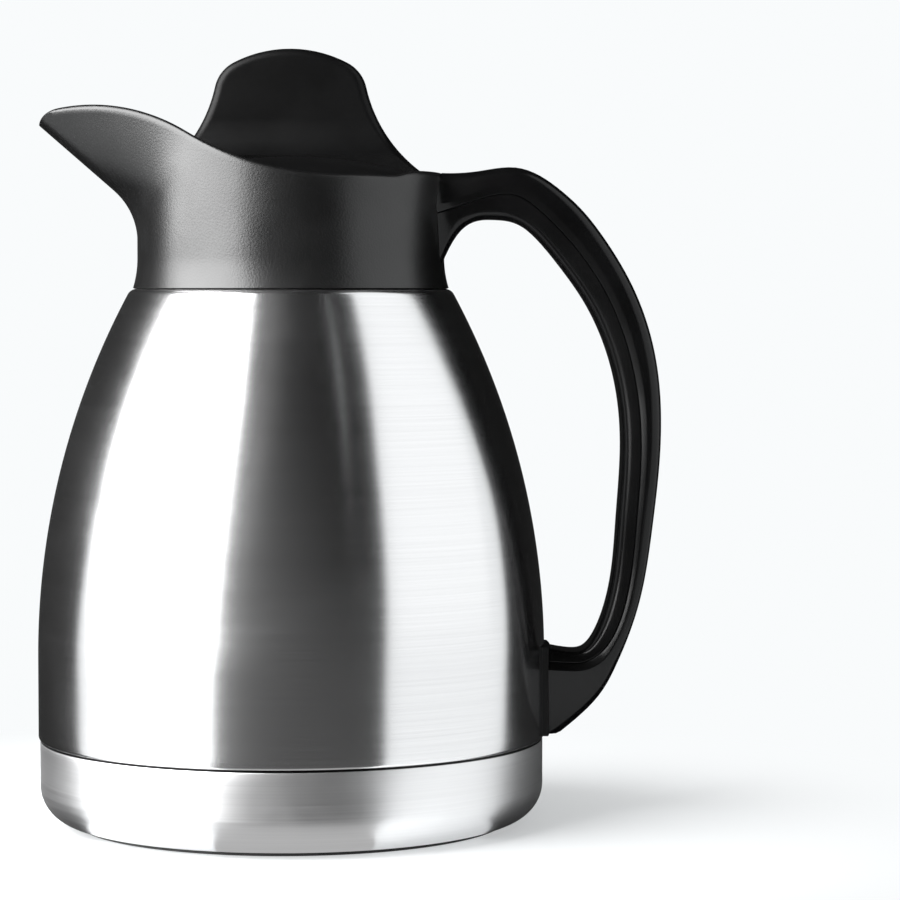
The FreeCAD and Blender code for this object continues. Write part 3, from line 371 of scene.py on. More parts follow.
def moulded_grain(group, inputs):
    """The fine pebbled skin of plastic from an etched mould."""
    spot = spot_on(group, (-900, 300))
    pebbles = add_node(group, "ShaderNodeTexVoronoi", (-500, 300), feature="SMOOTH_F1")
    fill(group, pebbles, {"Vector": spot, "Scale": inputs["Grains"], "Smoothness": 0.6, "Randomness": 1.0})
    patches = noise(group, (-500, -100), Vector=spot, Scale=inputs["Patches"], Detail=4.0)
    height = maths(group, "SUBTRACT", (-200, 300), 1.0, pebbles.outputs["Distance"])
    return {"Height": height, "Tone": ranged(group, patches, (-200, -100), start=0.35, end=0.65)}


def handled_marks(group, inputs):
    """Soft smears and dull spots that hands leave."""
    spot = spot_on(group, (-900, 300))
    cloud = noise(group, (-500, 200), Vector=spot, Scale=inputs["Size"], Detail=5.0, Distortion=0.6)
    return {"Mark": ranged(group, cloud, (-200, 200), start=0.48, end=0.72, soft=True)}


def new_group(name, build, inputs):
    """A shader group with named float inputs and outputs."""
    group = bpy.data.node_groups.new(name, "ShaderNodeTree")
    for label, default in inputs.items():
        socket = group.interface.new_socket(name=label, in_out="INPUT", socket_type="NodeSocketFloat")
        socket.default_value = default
    outputs = build(group, add_node(group, "NodeGroupInput", (-1100, 0)).outputs)
    for label in outputs:
        group.interface.new_socket(name=label, in_out="OUTPUT", socket_type="NodeSocketFloat")
    add_node(group, "NodeGroupOutput", (600, 0), outputs)
    return group


def put_group(tree, build, place, **values):
    """Places a shader group, which is built once and named for the function that builds it."""
    name = build.__name__.replace("_", " ").title()
    group = bpy.data.node_groups.get(name) or new_group(name, build, values)
    return add_node(tree, "ShaderNodeGroup", place, values, node_tree=group).outputs


# Materials


def new_material(name):
    material = bpy.data.materials.new(name)
    material.use_nodes = True
    return material, material.node_tree, material.node_tree.nodes["Principled BSDF"]


def shade(colour, factor):
    return (*(min(1.0, channel * factor) for channel in colour[:3]), 1.0)


def varied(tree, colour, rough, skin, marks, varies):
    """A colour and a roughness that vary with the skin and the hand marks."""
    tones, spans, smear = varies
    tone = tinted(tree, skin["Tone"], shade(colour, tones[0]), shade(colour, tones[1]), (-400, 300))
    spread = ranged(tree, skin["Tone"], (-450, 0), rough * spans[0], rough * spans[1])
    dull = ranged(tree, marks["Mark"], (-450, -200), 0.0, smear)
    return tone, maths(tree, "ADD", (-200, -100), spread, dull)


def bumped(tree, height, strength, distance):
    return add_node(tree, "ShaderNodeBump", (-200, 500), {
        "Height": height, "Strength": strength, "Distance": distance}).outputs["Normal"]


def shaded_above(tree, colour, height):
    """A colour that turns dark above a height: painted shade in a joint."""
    spot = split_spot(tree, spot_on(tree, (-800, 700)), (-600, 700))
    rise = ranged(tree, spot["Z"], (-400, 700), start=height - JOINT_FADE, end=height, soft=True)
    return tinted(tree, rise, colour, JOINT_SHADE, (-200, 700))


def turned_steel(name, colour, rough, depth, lines=2600.0, run=9.0, aniso=0.0, joint=None):
    """Steel with brush lines round the axis and faint hand marks, with painted shade above a joint's height.
    """
    material, tree, shader = new_material(name)
    brush = put_group(tree, brush_lines, (-700, 200), Lines=lines, Run=run)
    marks = put_group(tree, handled_marks, (-700, -200), Size=24.0)
    tone, spread = varied(tree, colour, rough, brush, marks, STEEL_VARIES)
    # Painted shade: the colour turns dark above the joint's height, standing in for the groove's shade
    if joint is not None:
        tone = shaded_above(tree, tone, joint)
    fill(tree, shader, {"Base Color": tone, "Roughness": spread, "Metallic": 1.0, "Anisotropic": aniso,
                        "Normal": bumped(tree, brush["Height"], depth, distance=0.02 * MM)})
    if aniso:
        sweep = add_node(tree, "ShaderNodeTangent", (-400, -400), direction_type="RADIAL", axis="Z")
        fill(tree, shader, {"Anisotropic Rotation": 0.25, "Tangent": sweep.outputs["Tangent"]})
    return material


def plain_metal(name, colour, rough):
    """Machined or pressed metal with fine tool marks."""
    return turned_steel(name, colour, rough, depth=0.12, lines=1800.0, run=30.0)


def moulded(name, colour, rough, grains, depth, specular=0.5):
    """Plastic or rubber with a moulded grain and hand marks."""
    material, tree, shader = new_material(name)
    grain = put_group(tree, moulded_grain, (-700, 200), Grains=grains, Patches=60.0)
    marks = put_group(tree, handled_marks, (-700, -200), Size=30.0)
    tone, spread = varied(tree, colour, rough, grain, marks, PLASTIC_VARIES)
    fill(tree, shader, {"Base Color": tone, "Roughness": spread, "Specular IOR Level": specular,
                        "Normal": bumped(tree, grain["Height"], depth, distance=0.1 * MM)})
    return material


def foam_like(name, colour):
    """Open-celled foam."""
    material, tree, shader = new_material(name)
    grain = put_group(tree, moulded_grain, (-700, 200), Grains=900.0, Patches=120.0)
    tone = tinted(tree, grain["Tone"], shade(colour, 0.75), shade(colour, 1.0), (-400, 300))
    fill(tree, shader, {"Base Color": tone, "Roughness": ranged(tree, grain["Tone"], (-450, 0), 0.85, 0.98),
                        "Normal": bumped(tree, grain["Height"], strength=0.6, distance=0.4 * MM)})
    return material


# Modelling helpers


def begin():
    if bpy.context.mode != "OBJECT":
        bpy.ops.object.mode_set(mode="OBJECT")
    bpy.ops.object.select_all(action="DESELECT")


def choose(piece):
    """Makes a piece the only one that the next operators act on."""
    begin()
    piece.select_set(True)
    bpy.context.view_layer.objects.active = piece


def arc_points(centre, radius, start, end, parts):
    """Points of an arc in the (radius, height) plane, angles in degrees from the outward level."""
    points = []
    for index in range(parts + 1):
        angle = math.radians(start + (end - start) * index / parts)
        points.append((centre[0] + radius * math.cos(angle), centre[1] + radius * math.sin(angle)))
    return points


def turned(name, outline, steps):
    """A closed outline of (radius, height) points, drawn by extruding a point and spun round the axis."""
    begin()
    bpy.ops.mesh.primitive_plane_add(size=2 * MM, location=(0, 0, 0))
    piece = bpy.context.object
    piece.name = piece.data.name = name
    bpy.ops.object.mode_set(mode="EDIT")
    bpy.ops.mesh.select_mode(type="VERT")
    bpy.ops.mesh.select_all(action="DESELECT")
    mesh = bmesh.from_edit_mesh(piece.data)
    mesh.verts.ensure_lookup_table()
    at = mesh.verts[0].co.copy()
    for vertex in mesh.verts[1:]:
        vertex.select = True
    bmesh.update_edit_mesh(piece.data)
    bpy.ops.mesh.delete(type="VERT")
    bpy.ops.mesh.select_all(action="SELECT")
    spots = [Vector((radius, 0, height)) for radius, height in outline]
    bpy.ops.transform.translate(value=spots[0] - at)
    for before, spot in zip(spots, spots[1:] + spots[:1]):
        bpy.ops.mesh.extrude_vertices_move(TRANSFORM_OT_translate={"value": spot - before})
    bpy.ops.mesh.select_all(action="SELECT")
    bpy.ops.mesh.spin(steps=steps, angle=FULL_TURN, center=(0, 0, 0), axis=(0, 0, 1))
    bpy.ops.mesh.select_all(action="SELECT")
    bpy.ops.mesh.remove_doubles(threshold=MERGE)
    bpy.ops.mesh.normals_make_consistent(inside=False)
    bpy.ops.object.mode_set(mode="OBJECT")
    return piece


def wrapped(name, loops, ring):
    """A flat grid, bent so that its rows close round each loop; a ring's columns close too."""
    columns, rows = len(loops), len(loops[0])
    spans = columns if ring else columns - 1
    begin()
    bpy.ops.mesh.primitive_grid_add(x_subdivisions=rows, y_subdivisions=spans)
    piece = bpy.context.object
    piece.name = piece.data.name = name
    places = []
    for column in range(spans + 1):
        for row in range(rows + 1):
            places.extend(loops[column % columns][row % rows])
    piece.data.vertices.foreach_set("co", places)
    bpy.ops.object.mode_set(mode="EDIT")
    bpy.ops.mesh.select_all(action="SELECT")
    bpy.ops.mesh.remove_doubles(threshold=MERGE)
    if not ring:
        bpy.ops.mesh.fill_holes(sides=0)
        bpy.ops.mesh.select_all(action="SELECT")
    bpy.ops.mesh.normals_make_consistent(inside=False)
    bpy.ops.object.mode_set(mode="OBJECT")
    return piece


def merged_copy(node, name):
    """A copy of a CAD node with its triangles joined, ready to be smoothed."""
    piece = frame["nodes"][node].copy()
    piece.data = frame["nodes"][node].data.copy()
    piece.parent = None
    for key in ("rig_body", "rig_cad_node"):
        del piece[key]
    piece.name = piece.data.name = name
    bpy.context.collection.objects.link(piece)
    choose(piece)
    bpy.ops.object.mode_set(mode="EDIT")
    bpy.ops.mesh.select_all(action="SELECT")
    bpy.ops.mesh.remove_doubles(threshold=2 * MERGE)
    bpy.ops.object.mode_set(mode="OBJECT")
    if piece.data.has_custom_normals:
        bpy.ops.mesh.customdata_custom_splitnormals_clear()
    return piece


def smooth(piece, angle=32.0):
    choose(piece)
    bpy.ops.object.shade_smooth_by_angle(angle=math.radians(angle))


def dress(piece, node, material):
    """The piece stands for a CAD node and moves with the node's body."""
    piece.data.materials.clear()
    piece.data.materials.append(material)
    bodies = frame["record"]["behaviour"]["bodies"]
    body = next(name for name, members in bodies.items() if node in members)
    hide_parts(node)
    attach(piece, body)


def paint(material, *nodes):
    """Puts a material on CAD nodes that keep their own shape."""
    for node in nodes:
        mesh = frame["nodes"][node].data
        mesh.materials.clear()
        mesh.materials.append(material)


def spline(points, steps):
    """A smooth curve through points, as a function of the step, and its slope at each point."""
    gaps = [after - before for before, after in zip(steps, steps[1:])]
    runs = [(after - before) / gap for before, after, gap in zip(points, points[1:], gaps)]
    slopes = [runs[0] + (runs[0] - runs[1]) * (gaps[0] / (gaps[0] + gaps[1]))]
    slopes += [(before + after) / 2 for before, after in zip(runs, runs[1:])]
    slopes.append(runs[-1] + (runs[-1] - runs[-2]) * (gaps[-1] / (gaps[-1] + gaps[-2])))
    rounds = 40
    for _ in range(rounds):
        for index in range(1, len(gaps)):
            back, ahead = 1 / gaps[index - 1], 1 / gaps[index]
            pull = 3 * (runs[index - 1] * back + runs[index] * ahead)
            pull -= slopes[index - 1] * back + slopes[index + 1] * ahead
            slopes[index] = pull / (2 * (back + ahead))

    def at(step):
        index = next((k for k in range(len(gaps)) if step <= steps[k + 1]), len(gaps) - 1)
        gap, part = gaps[index], (step - steps[index]) / gaps[index]
        ease = part * part * (3 - 2 * part)
        return (points[index] * (1 - ease) + points[index + 1] * ease
                + slopes[index] * gap * part * (1 - part) ** 2
                - slopes[index + 1] * gap * part ** 2 * (1 - part))

    return at, slopes


def chords(*lines):
    """Steps along several lines of points, by the mean distance from one point to the next."""
    steps = [0.0]
    for index in range(1, len(lines[0])):
        runs = [(line[index] - line[index - 1]).length for line in lines]
        steps.append(steps[-1] + sum(runs) / len(runs))
    return steps


def rounded(corners, parts):
    """A closed outline from corners, each a place in the plane with its rounding radius."""
    outline = []
    for index, (place, radius) in enumerate(corners):
        back = (corners[index - 1][0] - place).normalized()
        ahead = (corners[(index + 1) % len(corners)][0] - place).normalized()
        half = back.angle(ahead) / 2
        centre = place + (back + ahead).normalized() * (radius / math.sin(half))
        start = place + back * (radius / math.tan(half)) - centre
        turn = math.pi - 2 * half
        if back.cross(ahead) > 0:
            turn = -turn
        outline += [centre + Matrix.Rotation(turn * k / parts, 2) @ start for k in range(parts + 1)]
    return outline


def flared(collar, height):
    """How far the collar's foot spreads at a height."""
    arc = (collar.flare_rise ** 2 + collar.flare ** 2) / (2 * collar.flare)
    below = max(0.0, collar.foot + collar.flare_rise - height)
    return arc - math.sqrt(arc * arc - below * below)


# Operators


class JUG_OT_vessel(Operator):
    """Spins the steel shell with its rolled seam edge, and the matt base under it"""
    bl_idname = "jug.vessel"
    bl_label = "Steel Shell and Base"

    def execute(self, context):
        size, finish = settings(context).vessel, settings(context).finishes
        joint = size.seam - size.seam_gap
        shell = turned("steel_shell", self.shell_outline(size), size.steps)
        smooth(shell)
        dress(shell, "outer_shell", turned_steel(
            "Brushed Steel", finish.steel, finish.steel_rough, depth=0.09, aniso=0.6))
        base = turned("steel_base", self.base_outline(size, joint), size.steps)
        smooth(base)
        dress(base, "base_cup", turned_steel(
            "Satin Steel", finish.steel, finish.base_rough, depth=0.03, joint=joint))
        return {"FINISHED"}

    def shell_outline(self, size):
        """Up the outside from the rolled edge, over the shoulder to the neck, and down the inside."""
        run = size.radius - size.shoulder_radius
        rise = size.shoulder - size.belly
        arc = (rise * rise + run * run) / (2 * run)
        centre = (size.radius - arc, size.belly)
        to_round = arc - size.shoulder_round
        round_z = size.shoulder - size.shoulder_round
        turn = math.degrees(math.asin((round_z - size.belly) / to_round))
        round_at = (centre[0] + to_round * math.cos(math.radians(turn)), round_z)
        roll, inside, neck = size.seam_roll, size.radius - size.wall, size.neck_radius
        outline = arc_points((size.radius - roll, size.seam + roll), roll, -90, 0, parts=8)
        outline += [(size.radius, size.seam + (size.belly - size.seam) * k / 8) for k in range(1, 8)]
        outline += arc_points(centre, arc, 0, turn, parts=60)
        outline += arc_points(round_at, size.shoulder_round, turn, 90, parts=10)[1:]
        outline += [(neck, size.shoulder), (neck, SHELL_HIGH.z), (neck - size.wall, SHELL_HIGH.z),
                    (neck - size.wall, size.shoulder - size.wall)]
        outline += arc_points(round_at, size.shoulder_round - size.wall, 90, turn, parts=6)
        outline += arc_points(centre, arc - size.wall, turn, 0, parts=40)[1:]
        return outline + [(inside, size.seam + roll), (inside - SEAM_TUCK, size.seam)]

    def base_outline(self, size, joint):
        """Out along the underside, up the side to the joint and the lip in the shell, and back inside."""
        side = size.radius - size.base_inset
        corner, edge, foot = size.base_corner, size.base_edge, size.base_foot
        bend = foot + corner
        lip = size.radius - size.wall - size.base_play
        inside = lip - size.wall
        panel, panel_edge = foot + size.recess_depth, size.recess_edge - size.recess_lean
        outline = [(size.vent, panel), (panel_edge, panel), (size.recess_edge, foot)]
        outline += arc_points((side - corner, bend), corner, -90, 0, parts=28)
        outline += [(side, bend + (joint - edge - bend) * k / 4) for k in range(1, 4)]
        outline += arc_points((side - edge, joint - edge), edge, 0, 90, parts=5)
        outline += [(lip, joint), (lip, BASE_HIGH.z), (inside, BASE_HIGH.z), (inside, bend)]
        outline += arc_points((inside - corner + size.wall, bend), corner - size.wall, 0, -90, parts=14)[1:]
        return outline + [(size.recess_edge, foot + size.wall), (panel_edge, panel + size.wall),
                          (size.vent, panel + size.wall)]


class JUG_OT_collar(Operator):
    """Shapes the black collar with its drawn-out beak and rounded rim"""
    bl_idname = "jug.collar"
    bl_label = "Collar and Beak"

    def execute(self, context):
        self.size, finish = settings(context).collar, settings(context).finishes
        columns = self.size.columns
        piece = wrapped("beaked_collar", [self.loop(FULL_TURN * k / columns) for k in range(columns)], True)
        smooth(piece, angle=40.0)
        dress(piece, "spout_collar", moulded(
            "Grained Collar", finish.black, finish.collar_rough, grains=1700.0, depth=0.22, specular=0.75))
        return {"FINISHED"}

    def reach(self, height, wall):
        """How far the beak's front stands from the axis."""
        size = self.size
        steep = 1 / math.sqrt(1 + size.beak_slope ** 2)
        bend = size.beak_bend + wall
        above = height - (size.foot + size.beak_rise)
        middle = size.radius + size.beak_bend
        bend_end = bend * size.beak_slope * steep
        if above <= 0:
            return middle - bend
        if above <= bend_end:
            return middle - math.sqrt(bend * bend - above * above)
        return middle - bend * steep + (above - bend_end) * size.beak_slope

    def front(self, height):
        """The radius of the beak's front: broad at its root, narrow at its tip."""
        size = self.size
        low = size.foot + size.beak_rise
        left = 1 - (height - low) / (size.rim + size.crest_rise + size.nose_rise - low)
        left = min(1.0, max(0.0, left))
        return size.nose + (size.root_nose - size.nose) * left * left

    def radius_at(self, turn, height, wall):
        """Distance of the wall from the axis, at an angle from the front."""
        size = self.size
        radius = size.radius - wall
        if wall == 0 and height < size.foot + size.flare_rise:
            return radius + flared(size, height)
        reach, nose = self.reach(height, wall), self.front(height) - wall
        spread = reach - nose
        if reach - radius < MERGE:
            return radius
        meet = math.acos(min(1.0, (radius - nose) / spread))
        if turn >= meet:
            return radius
        front = math.atan2(nose * math.sin(meet), spread + nose * math.cos(meet))
        if turn >= front:
            return radius / math.cos(turn - meet)
        return spread * math.cos(turn) + math.sqrt(nose ** 2 - (spread * math.sin(turn)) ** 2)

    def rim_line(self, x):
        """The rim's height along the jug, from the tip to the back."""
        size = self.size
        both = size.valley + size.crest
        cosine = 1 - size.crest_rise / both
        sine = math.sqrt(1 - cosine * cosine)
        crest_x, crest_z = size.flat_end - both * sine, size.rim + size.crest_rise - size.crest
        tip_x = size.tip_round - size.tip_reach
        tip_sine = (crest_x - tip_x) / (size.crest - size.tip_round)
        tip_z = crest_z + (size.crest - size.tip_round) * math.sqrt(1 - tip_sine ** 2)
        if x < tip_x - size.tip_round:
            return 0.0
        if x < crest_x - size.crest * tip_sine:
            return tip_z + math.sqrt(size.tip_round ** 2 - (x - tip_x) ** 2)
        if x < crest_x + size.crest * sine:
            return crest_z + math.sqrt(size.crest ** 2 - (x - crest_x) ** 2)
        if x < size.flat_end:
            return size.rim + size.valley - math.sqrt(size.valley ** 2 - (size.flat_end - x) ** 2)
        if x < size.saddle_start:
            return size.rim
        saddle_cosine = 1 - size.saddle_rise / (2 * size.saddle_radius)
        saddle_run = size.saddle_radius * math.sqrt(1 - saddle_cosine ** 2)
        along = x - size.saddle_start
        if along < saddle_run:
            return size.rim + size.saddle_radius - math.sqrt(size.saddle_radius ** 2 - along ** 2)
        back = max(0.0, 2 * saddle_run - along)
        sag = size.saddle_radius - math.sqrt(size.saddle_radius ** 2 - back ** 2)
        return size.rim + size.saddle_rise - sag

    def top(self, angle, wall):
        """The height at which the wall meets the rim line, at an angle about the axis."""
        turn = abs(math.pi - angle % FULL_TURN)

        def short(height):
            return self.rim_line(self.radius_at(turn, height, wall) * math.cos(angle)) - height

        stride = 0.5 * MM
        low = self.size.flange_top + 2 * stride
        while short(low + stride) > 0:
            low += stride
        high = low + stride
        for _ in range(HALVINGS):
            middle = (low + high) / 2
            low, high = (middle, high) if short(middle) > 0 else (low, middle)
        return low

    def spot(self, angle, height, wall):
        radius = self.radius_at(abs(math.pi - angle % FULL_TURN), height, wall)
        return Vector((radius * math.cos(angle), radius * math.sin(angle), height))

    def loop(self, even):
        """A closed loop of points in one column: up the outside, over the lip and down the inside."""
        size = self.size
        angle = even + size.gather * math.sin(even)
        lip = size.lip * (1 - size.lip_thinning * max(0.0, -math.cos(angle)) ** size.lip_hold)
        low, high = size.foot + size.foot_edge, self.top(angle, 0.0) - lip
        loop = [self.spot(angle, size.foot, 0.0)]
        loop[0].xy *= size.foot_tuck
        for row in range(size.rows + 1):
            loop.append(self.spot(angle, low + (high - low) * row / size.rows, 0.0))
        inner_high = self.top(angle, size.wall) - lip
        outside, inside = loop[-1], self.spot(angle, inner_high, size.wall)
        for row in range(1, size.lip_rows):
            over = math.pi * row / size.lip_rows
            middle = (outside + inside) / 2 + (outside - inside) / 2 * math.cos(over)
            loop.append(middle + Vector((0, 0, lip * math.sin(over))))
        depth = inner_high - size.flange_top
        for row in range(size.inner_rows + 1):
            height = size.flange_top + depth * (1 - row / size.inner_rows)
            loop.append(self.spot(angle, height, size.wall))
        for radius, height in ((size.flange_bore, size.flange_top), (size.flange_bore, size.flange_bottom),
                               (size.skirt_bore, size.flange_bottom), (size.skirt_bore, size.foot)):
            loop.append(Vector((radius * math.cos(angle), radius * math.sin(angle), height)))
        return loop


class JUG_OT_handle(Operator):
    """Sweeps the two halves of the handle and finishes its pad and fixings"""
    bl_idname = "jug.handle"
    bl_label = "Handle"

    def execute(self, context):
        jug = settings(context)
        self.size, self.collar, finish = jug.handle, jug.collar, jug.finishes
        middle, outer, inner, end = self.rails()
        satin = moulded("Satin Handle", finish.black, finish.handle_rough, grains=2400.0, depth=0.05,
                        specular=0.26)
        spine = self.half("satin_spine", middle, outer, end, self.size.bevel, 0.0)
        self.bore(spine)
        liner = self.half("satin_liner", middle, inner, end, 0.0, self.size.liner_inset)
        for piece, node in ((spine, "handle_spine"), (liner, "handle_liner")):
            smooth(piece, angle=35.0)
            dress(piece, node, satin)
        paint(moulded("Pad Rubber", (0.006, 0.006, 0.006), 0.6, grains=1200.0, depth=0.2, specular=0.2),
              "foot_pad")
        paint(plain_metal("Zinc Screws", (0.55, 0.55, 0.56), 0.3),
              "foot_screw", "collar_screws", "stopper_screw")
        paint(plain_metal("Bracket Steel", (0.6, 0.6, 0.6), 0.35), "handle_bracket")
        return {"FINISHED"}

    def rails(self):
        """The parting line and the two outlines as curves; an outline's y is half the width there."""
        places = [Vector((x, 0, z)) * MM for x, z, *_ in HANDLE_STATIONS]
        along = spline(places, chords(places))[1]
        along[0], along[-1] = Vector((1, 0, 0)), Vector((-1, 0, 0))
        outer, inner = [], []
        for place, way, (_, _, out, back, half) in zip(places, along, HANDLE_STATIONS):
            way = way.normalized()
            away, aside = Vector((-way.z, 0, way.x)), Vector((0, half * MM, 0))
            outer.append(place + away * out * MM + aside)
            inner.append(place - away * back * MM + aside)
        steps = chords(places, outer, inner)
        return spline(places, steps)[0], spline(outer, steps)[0], spline(inner, steps)[0], steps[-1]

    def section(self, place, edge, bevel, inset):
        """A rounded outline across the handle, from the parting line to one of its outlines."""
        size = self.size
        away = Vector((edge.x - place.x, 0, edge.z - place.z))
        reach = away.length
        away.normalize()
        start = size.parting_gap / 2
        half = edge.y - inset
        far = half - (reach - start) * math.tan(size.draft)
        side = [(half, start, size.parting_round)]
        if bevel:
            wide = min(bevel, size.bevel_share * reach)
            shoulder = half - wide * math.tan(size.draft)
            side = [(shoulder - wide * math.tan(size.bevel_lean), start, size.parting_round),
                    (shoulder, start + wide, size.bevel_round)]
        side.append((far, reach, min(size.edge_round, size.edge_share * reach)))
        side += [(-across, out, radius) for across, out, radius in reversed(side)]
        corners = [(Vector((across, out)), radius) for across, out, radius in side]
        outline = rounded(corners, size.corner_steps)
        return [place + Vector((0, spot.x, 0)) + away * spot.y for spot in outline]

    def trimmed(self, line, wall):
        """A line of spots cut off at a wall: those inside it are gathered where the line leaves it."""
        def clear(spot):
            return math.hypot(spot.x, spot.y) > wall(spot.z)

        leave = next(k for k, spot in enumerate(line) if clear(spot))
        inside, outside = line[leave - 1], line[leave]
        for _ in range(HALVINGS):
            middle = (inside + outside) / 2
            inside, outside = (inside, middle) if clear(middle) else (middle, outside)
        return [outside] * leave + line[leave:]

    def half(self, name, middle, outline, end, bevel, inset):
        """One half of the handle, from the collar's wall to the pad's face."""
        size, collar = self.size, self.collar
        loops = []
        for step in range(size.steps + 1):
            at = end * step / size.steps
            loops.append(self.section(middle(at), outline(at), bevel, inset))
        lines = []
        for line in zip(*loops):
            line = [Vector((spot.x, spot.y, max(spot.z, size.sole))) for spot in line]
            line = self.trimmed(line, lambda height: collar.radius + flared(collar, height))
            lines.append(self.trimmed(line[::-1], lambda height: size.pad_face)[::-1])
        return wrapped(name, list(zip(*lines)), False)

    def bore(self, piece):
        """The hole in the foot's sole that the screw's head lies in."""
        size = self.size
        begin()
        low = size.sole - size.screw_bore
        bpy.ops.mesh.primitive_cylinder_add(vertices=48, radius=size.screw_bore, depth=size.screw_seat - low,
                                            location=(size.screw_x, 0, (size.screw_seat + low) / 2))
        tool = bpy.context.object
        choose(piece)
        cut = piece.modifiers.new("bore", "BOOLEAN")
        cut.operation, cut.solver, cut.object = "DIFFERENCE", "EXACT", tool
        bpy.ops.object.modifier_apply(modifier=cut.name)
        bpy.data.objects.remove(tool)


class JUG_OT_stopper(Operator):
    """Finishes the stopper: the cap with its wing grip, the plug and its seal"""
    bl_idname = "jug.stopper"
    bl_label = "Stopper"

    def execute(self, context):
        finish = settings(context).finishes
        cap = merged_copy("lid_cap", "wing_cap")
        smooth(cap)
        dress(cap, "lid_cap", moulded(
            "Grained Cap", finish.black, finish.cap_rough, grains=2400.0, depth=0.1, specular=0.15))
        paint(moulded("Plug Plastic", (0.012, 0.012, 0.012), 0.38, grains=1800.0, depth=0.25),
              "stopper_plug", "seal_retainer")
        paint(moulded("Ring Plastic", (0.01, 0.01, 0.01), 0.36, grains=1800.0, depth=0.25), "neck_ring")
        paint(moulded("Silicone", finish.silicone, 0.5, grains=1400.0, depth=0.2),
              "stopper_gasket", "neck_gasket", "neck_oring")
        paint(foam_like("Foam", (0.78, 0.74, 0.62)), "stopper_foam")
        return {"FINISHED"}


class JUG_OT_insides(Operator):
    """Finishes the flask and what lies under the base"""
    bl_idname = "jug.insides"
    bl_label = "Flask and Underside"

    def execute(self, context):
        steel = shade(settings(context).finishes.steel, 0.95)
        paint(turned_steel("Flask Steel", steel, 0.24, depth=0.2, lines=1500.0, run=12.0, aniso=0.3),
              "inner_flask")
        paint(plain_metal("Getter Metal", (0.32, 0.31, 0.3), 0.55), "getter")
        paint(plain_metal("Seal Metal", (0.5, 0.49, 0.46), 0.4), "vacuum_seal")
        paint(moulded("Cover Plastic", (0.012, 0.012, 0.012), 0.5, grains=1000.0, depth=0.5), "base_cover")
        paint(moulded("Foot Rubber", (0.018, 0.018, 0.018), 0.7, grains=900.0, depth=0.5), "foot_ring")
        return {"FINISHED"}


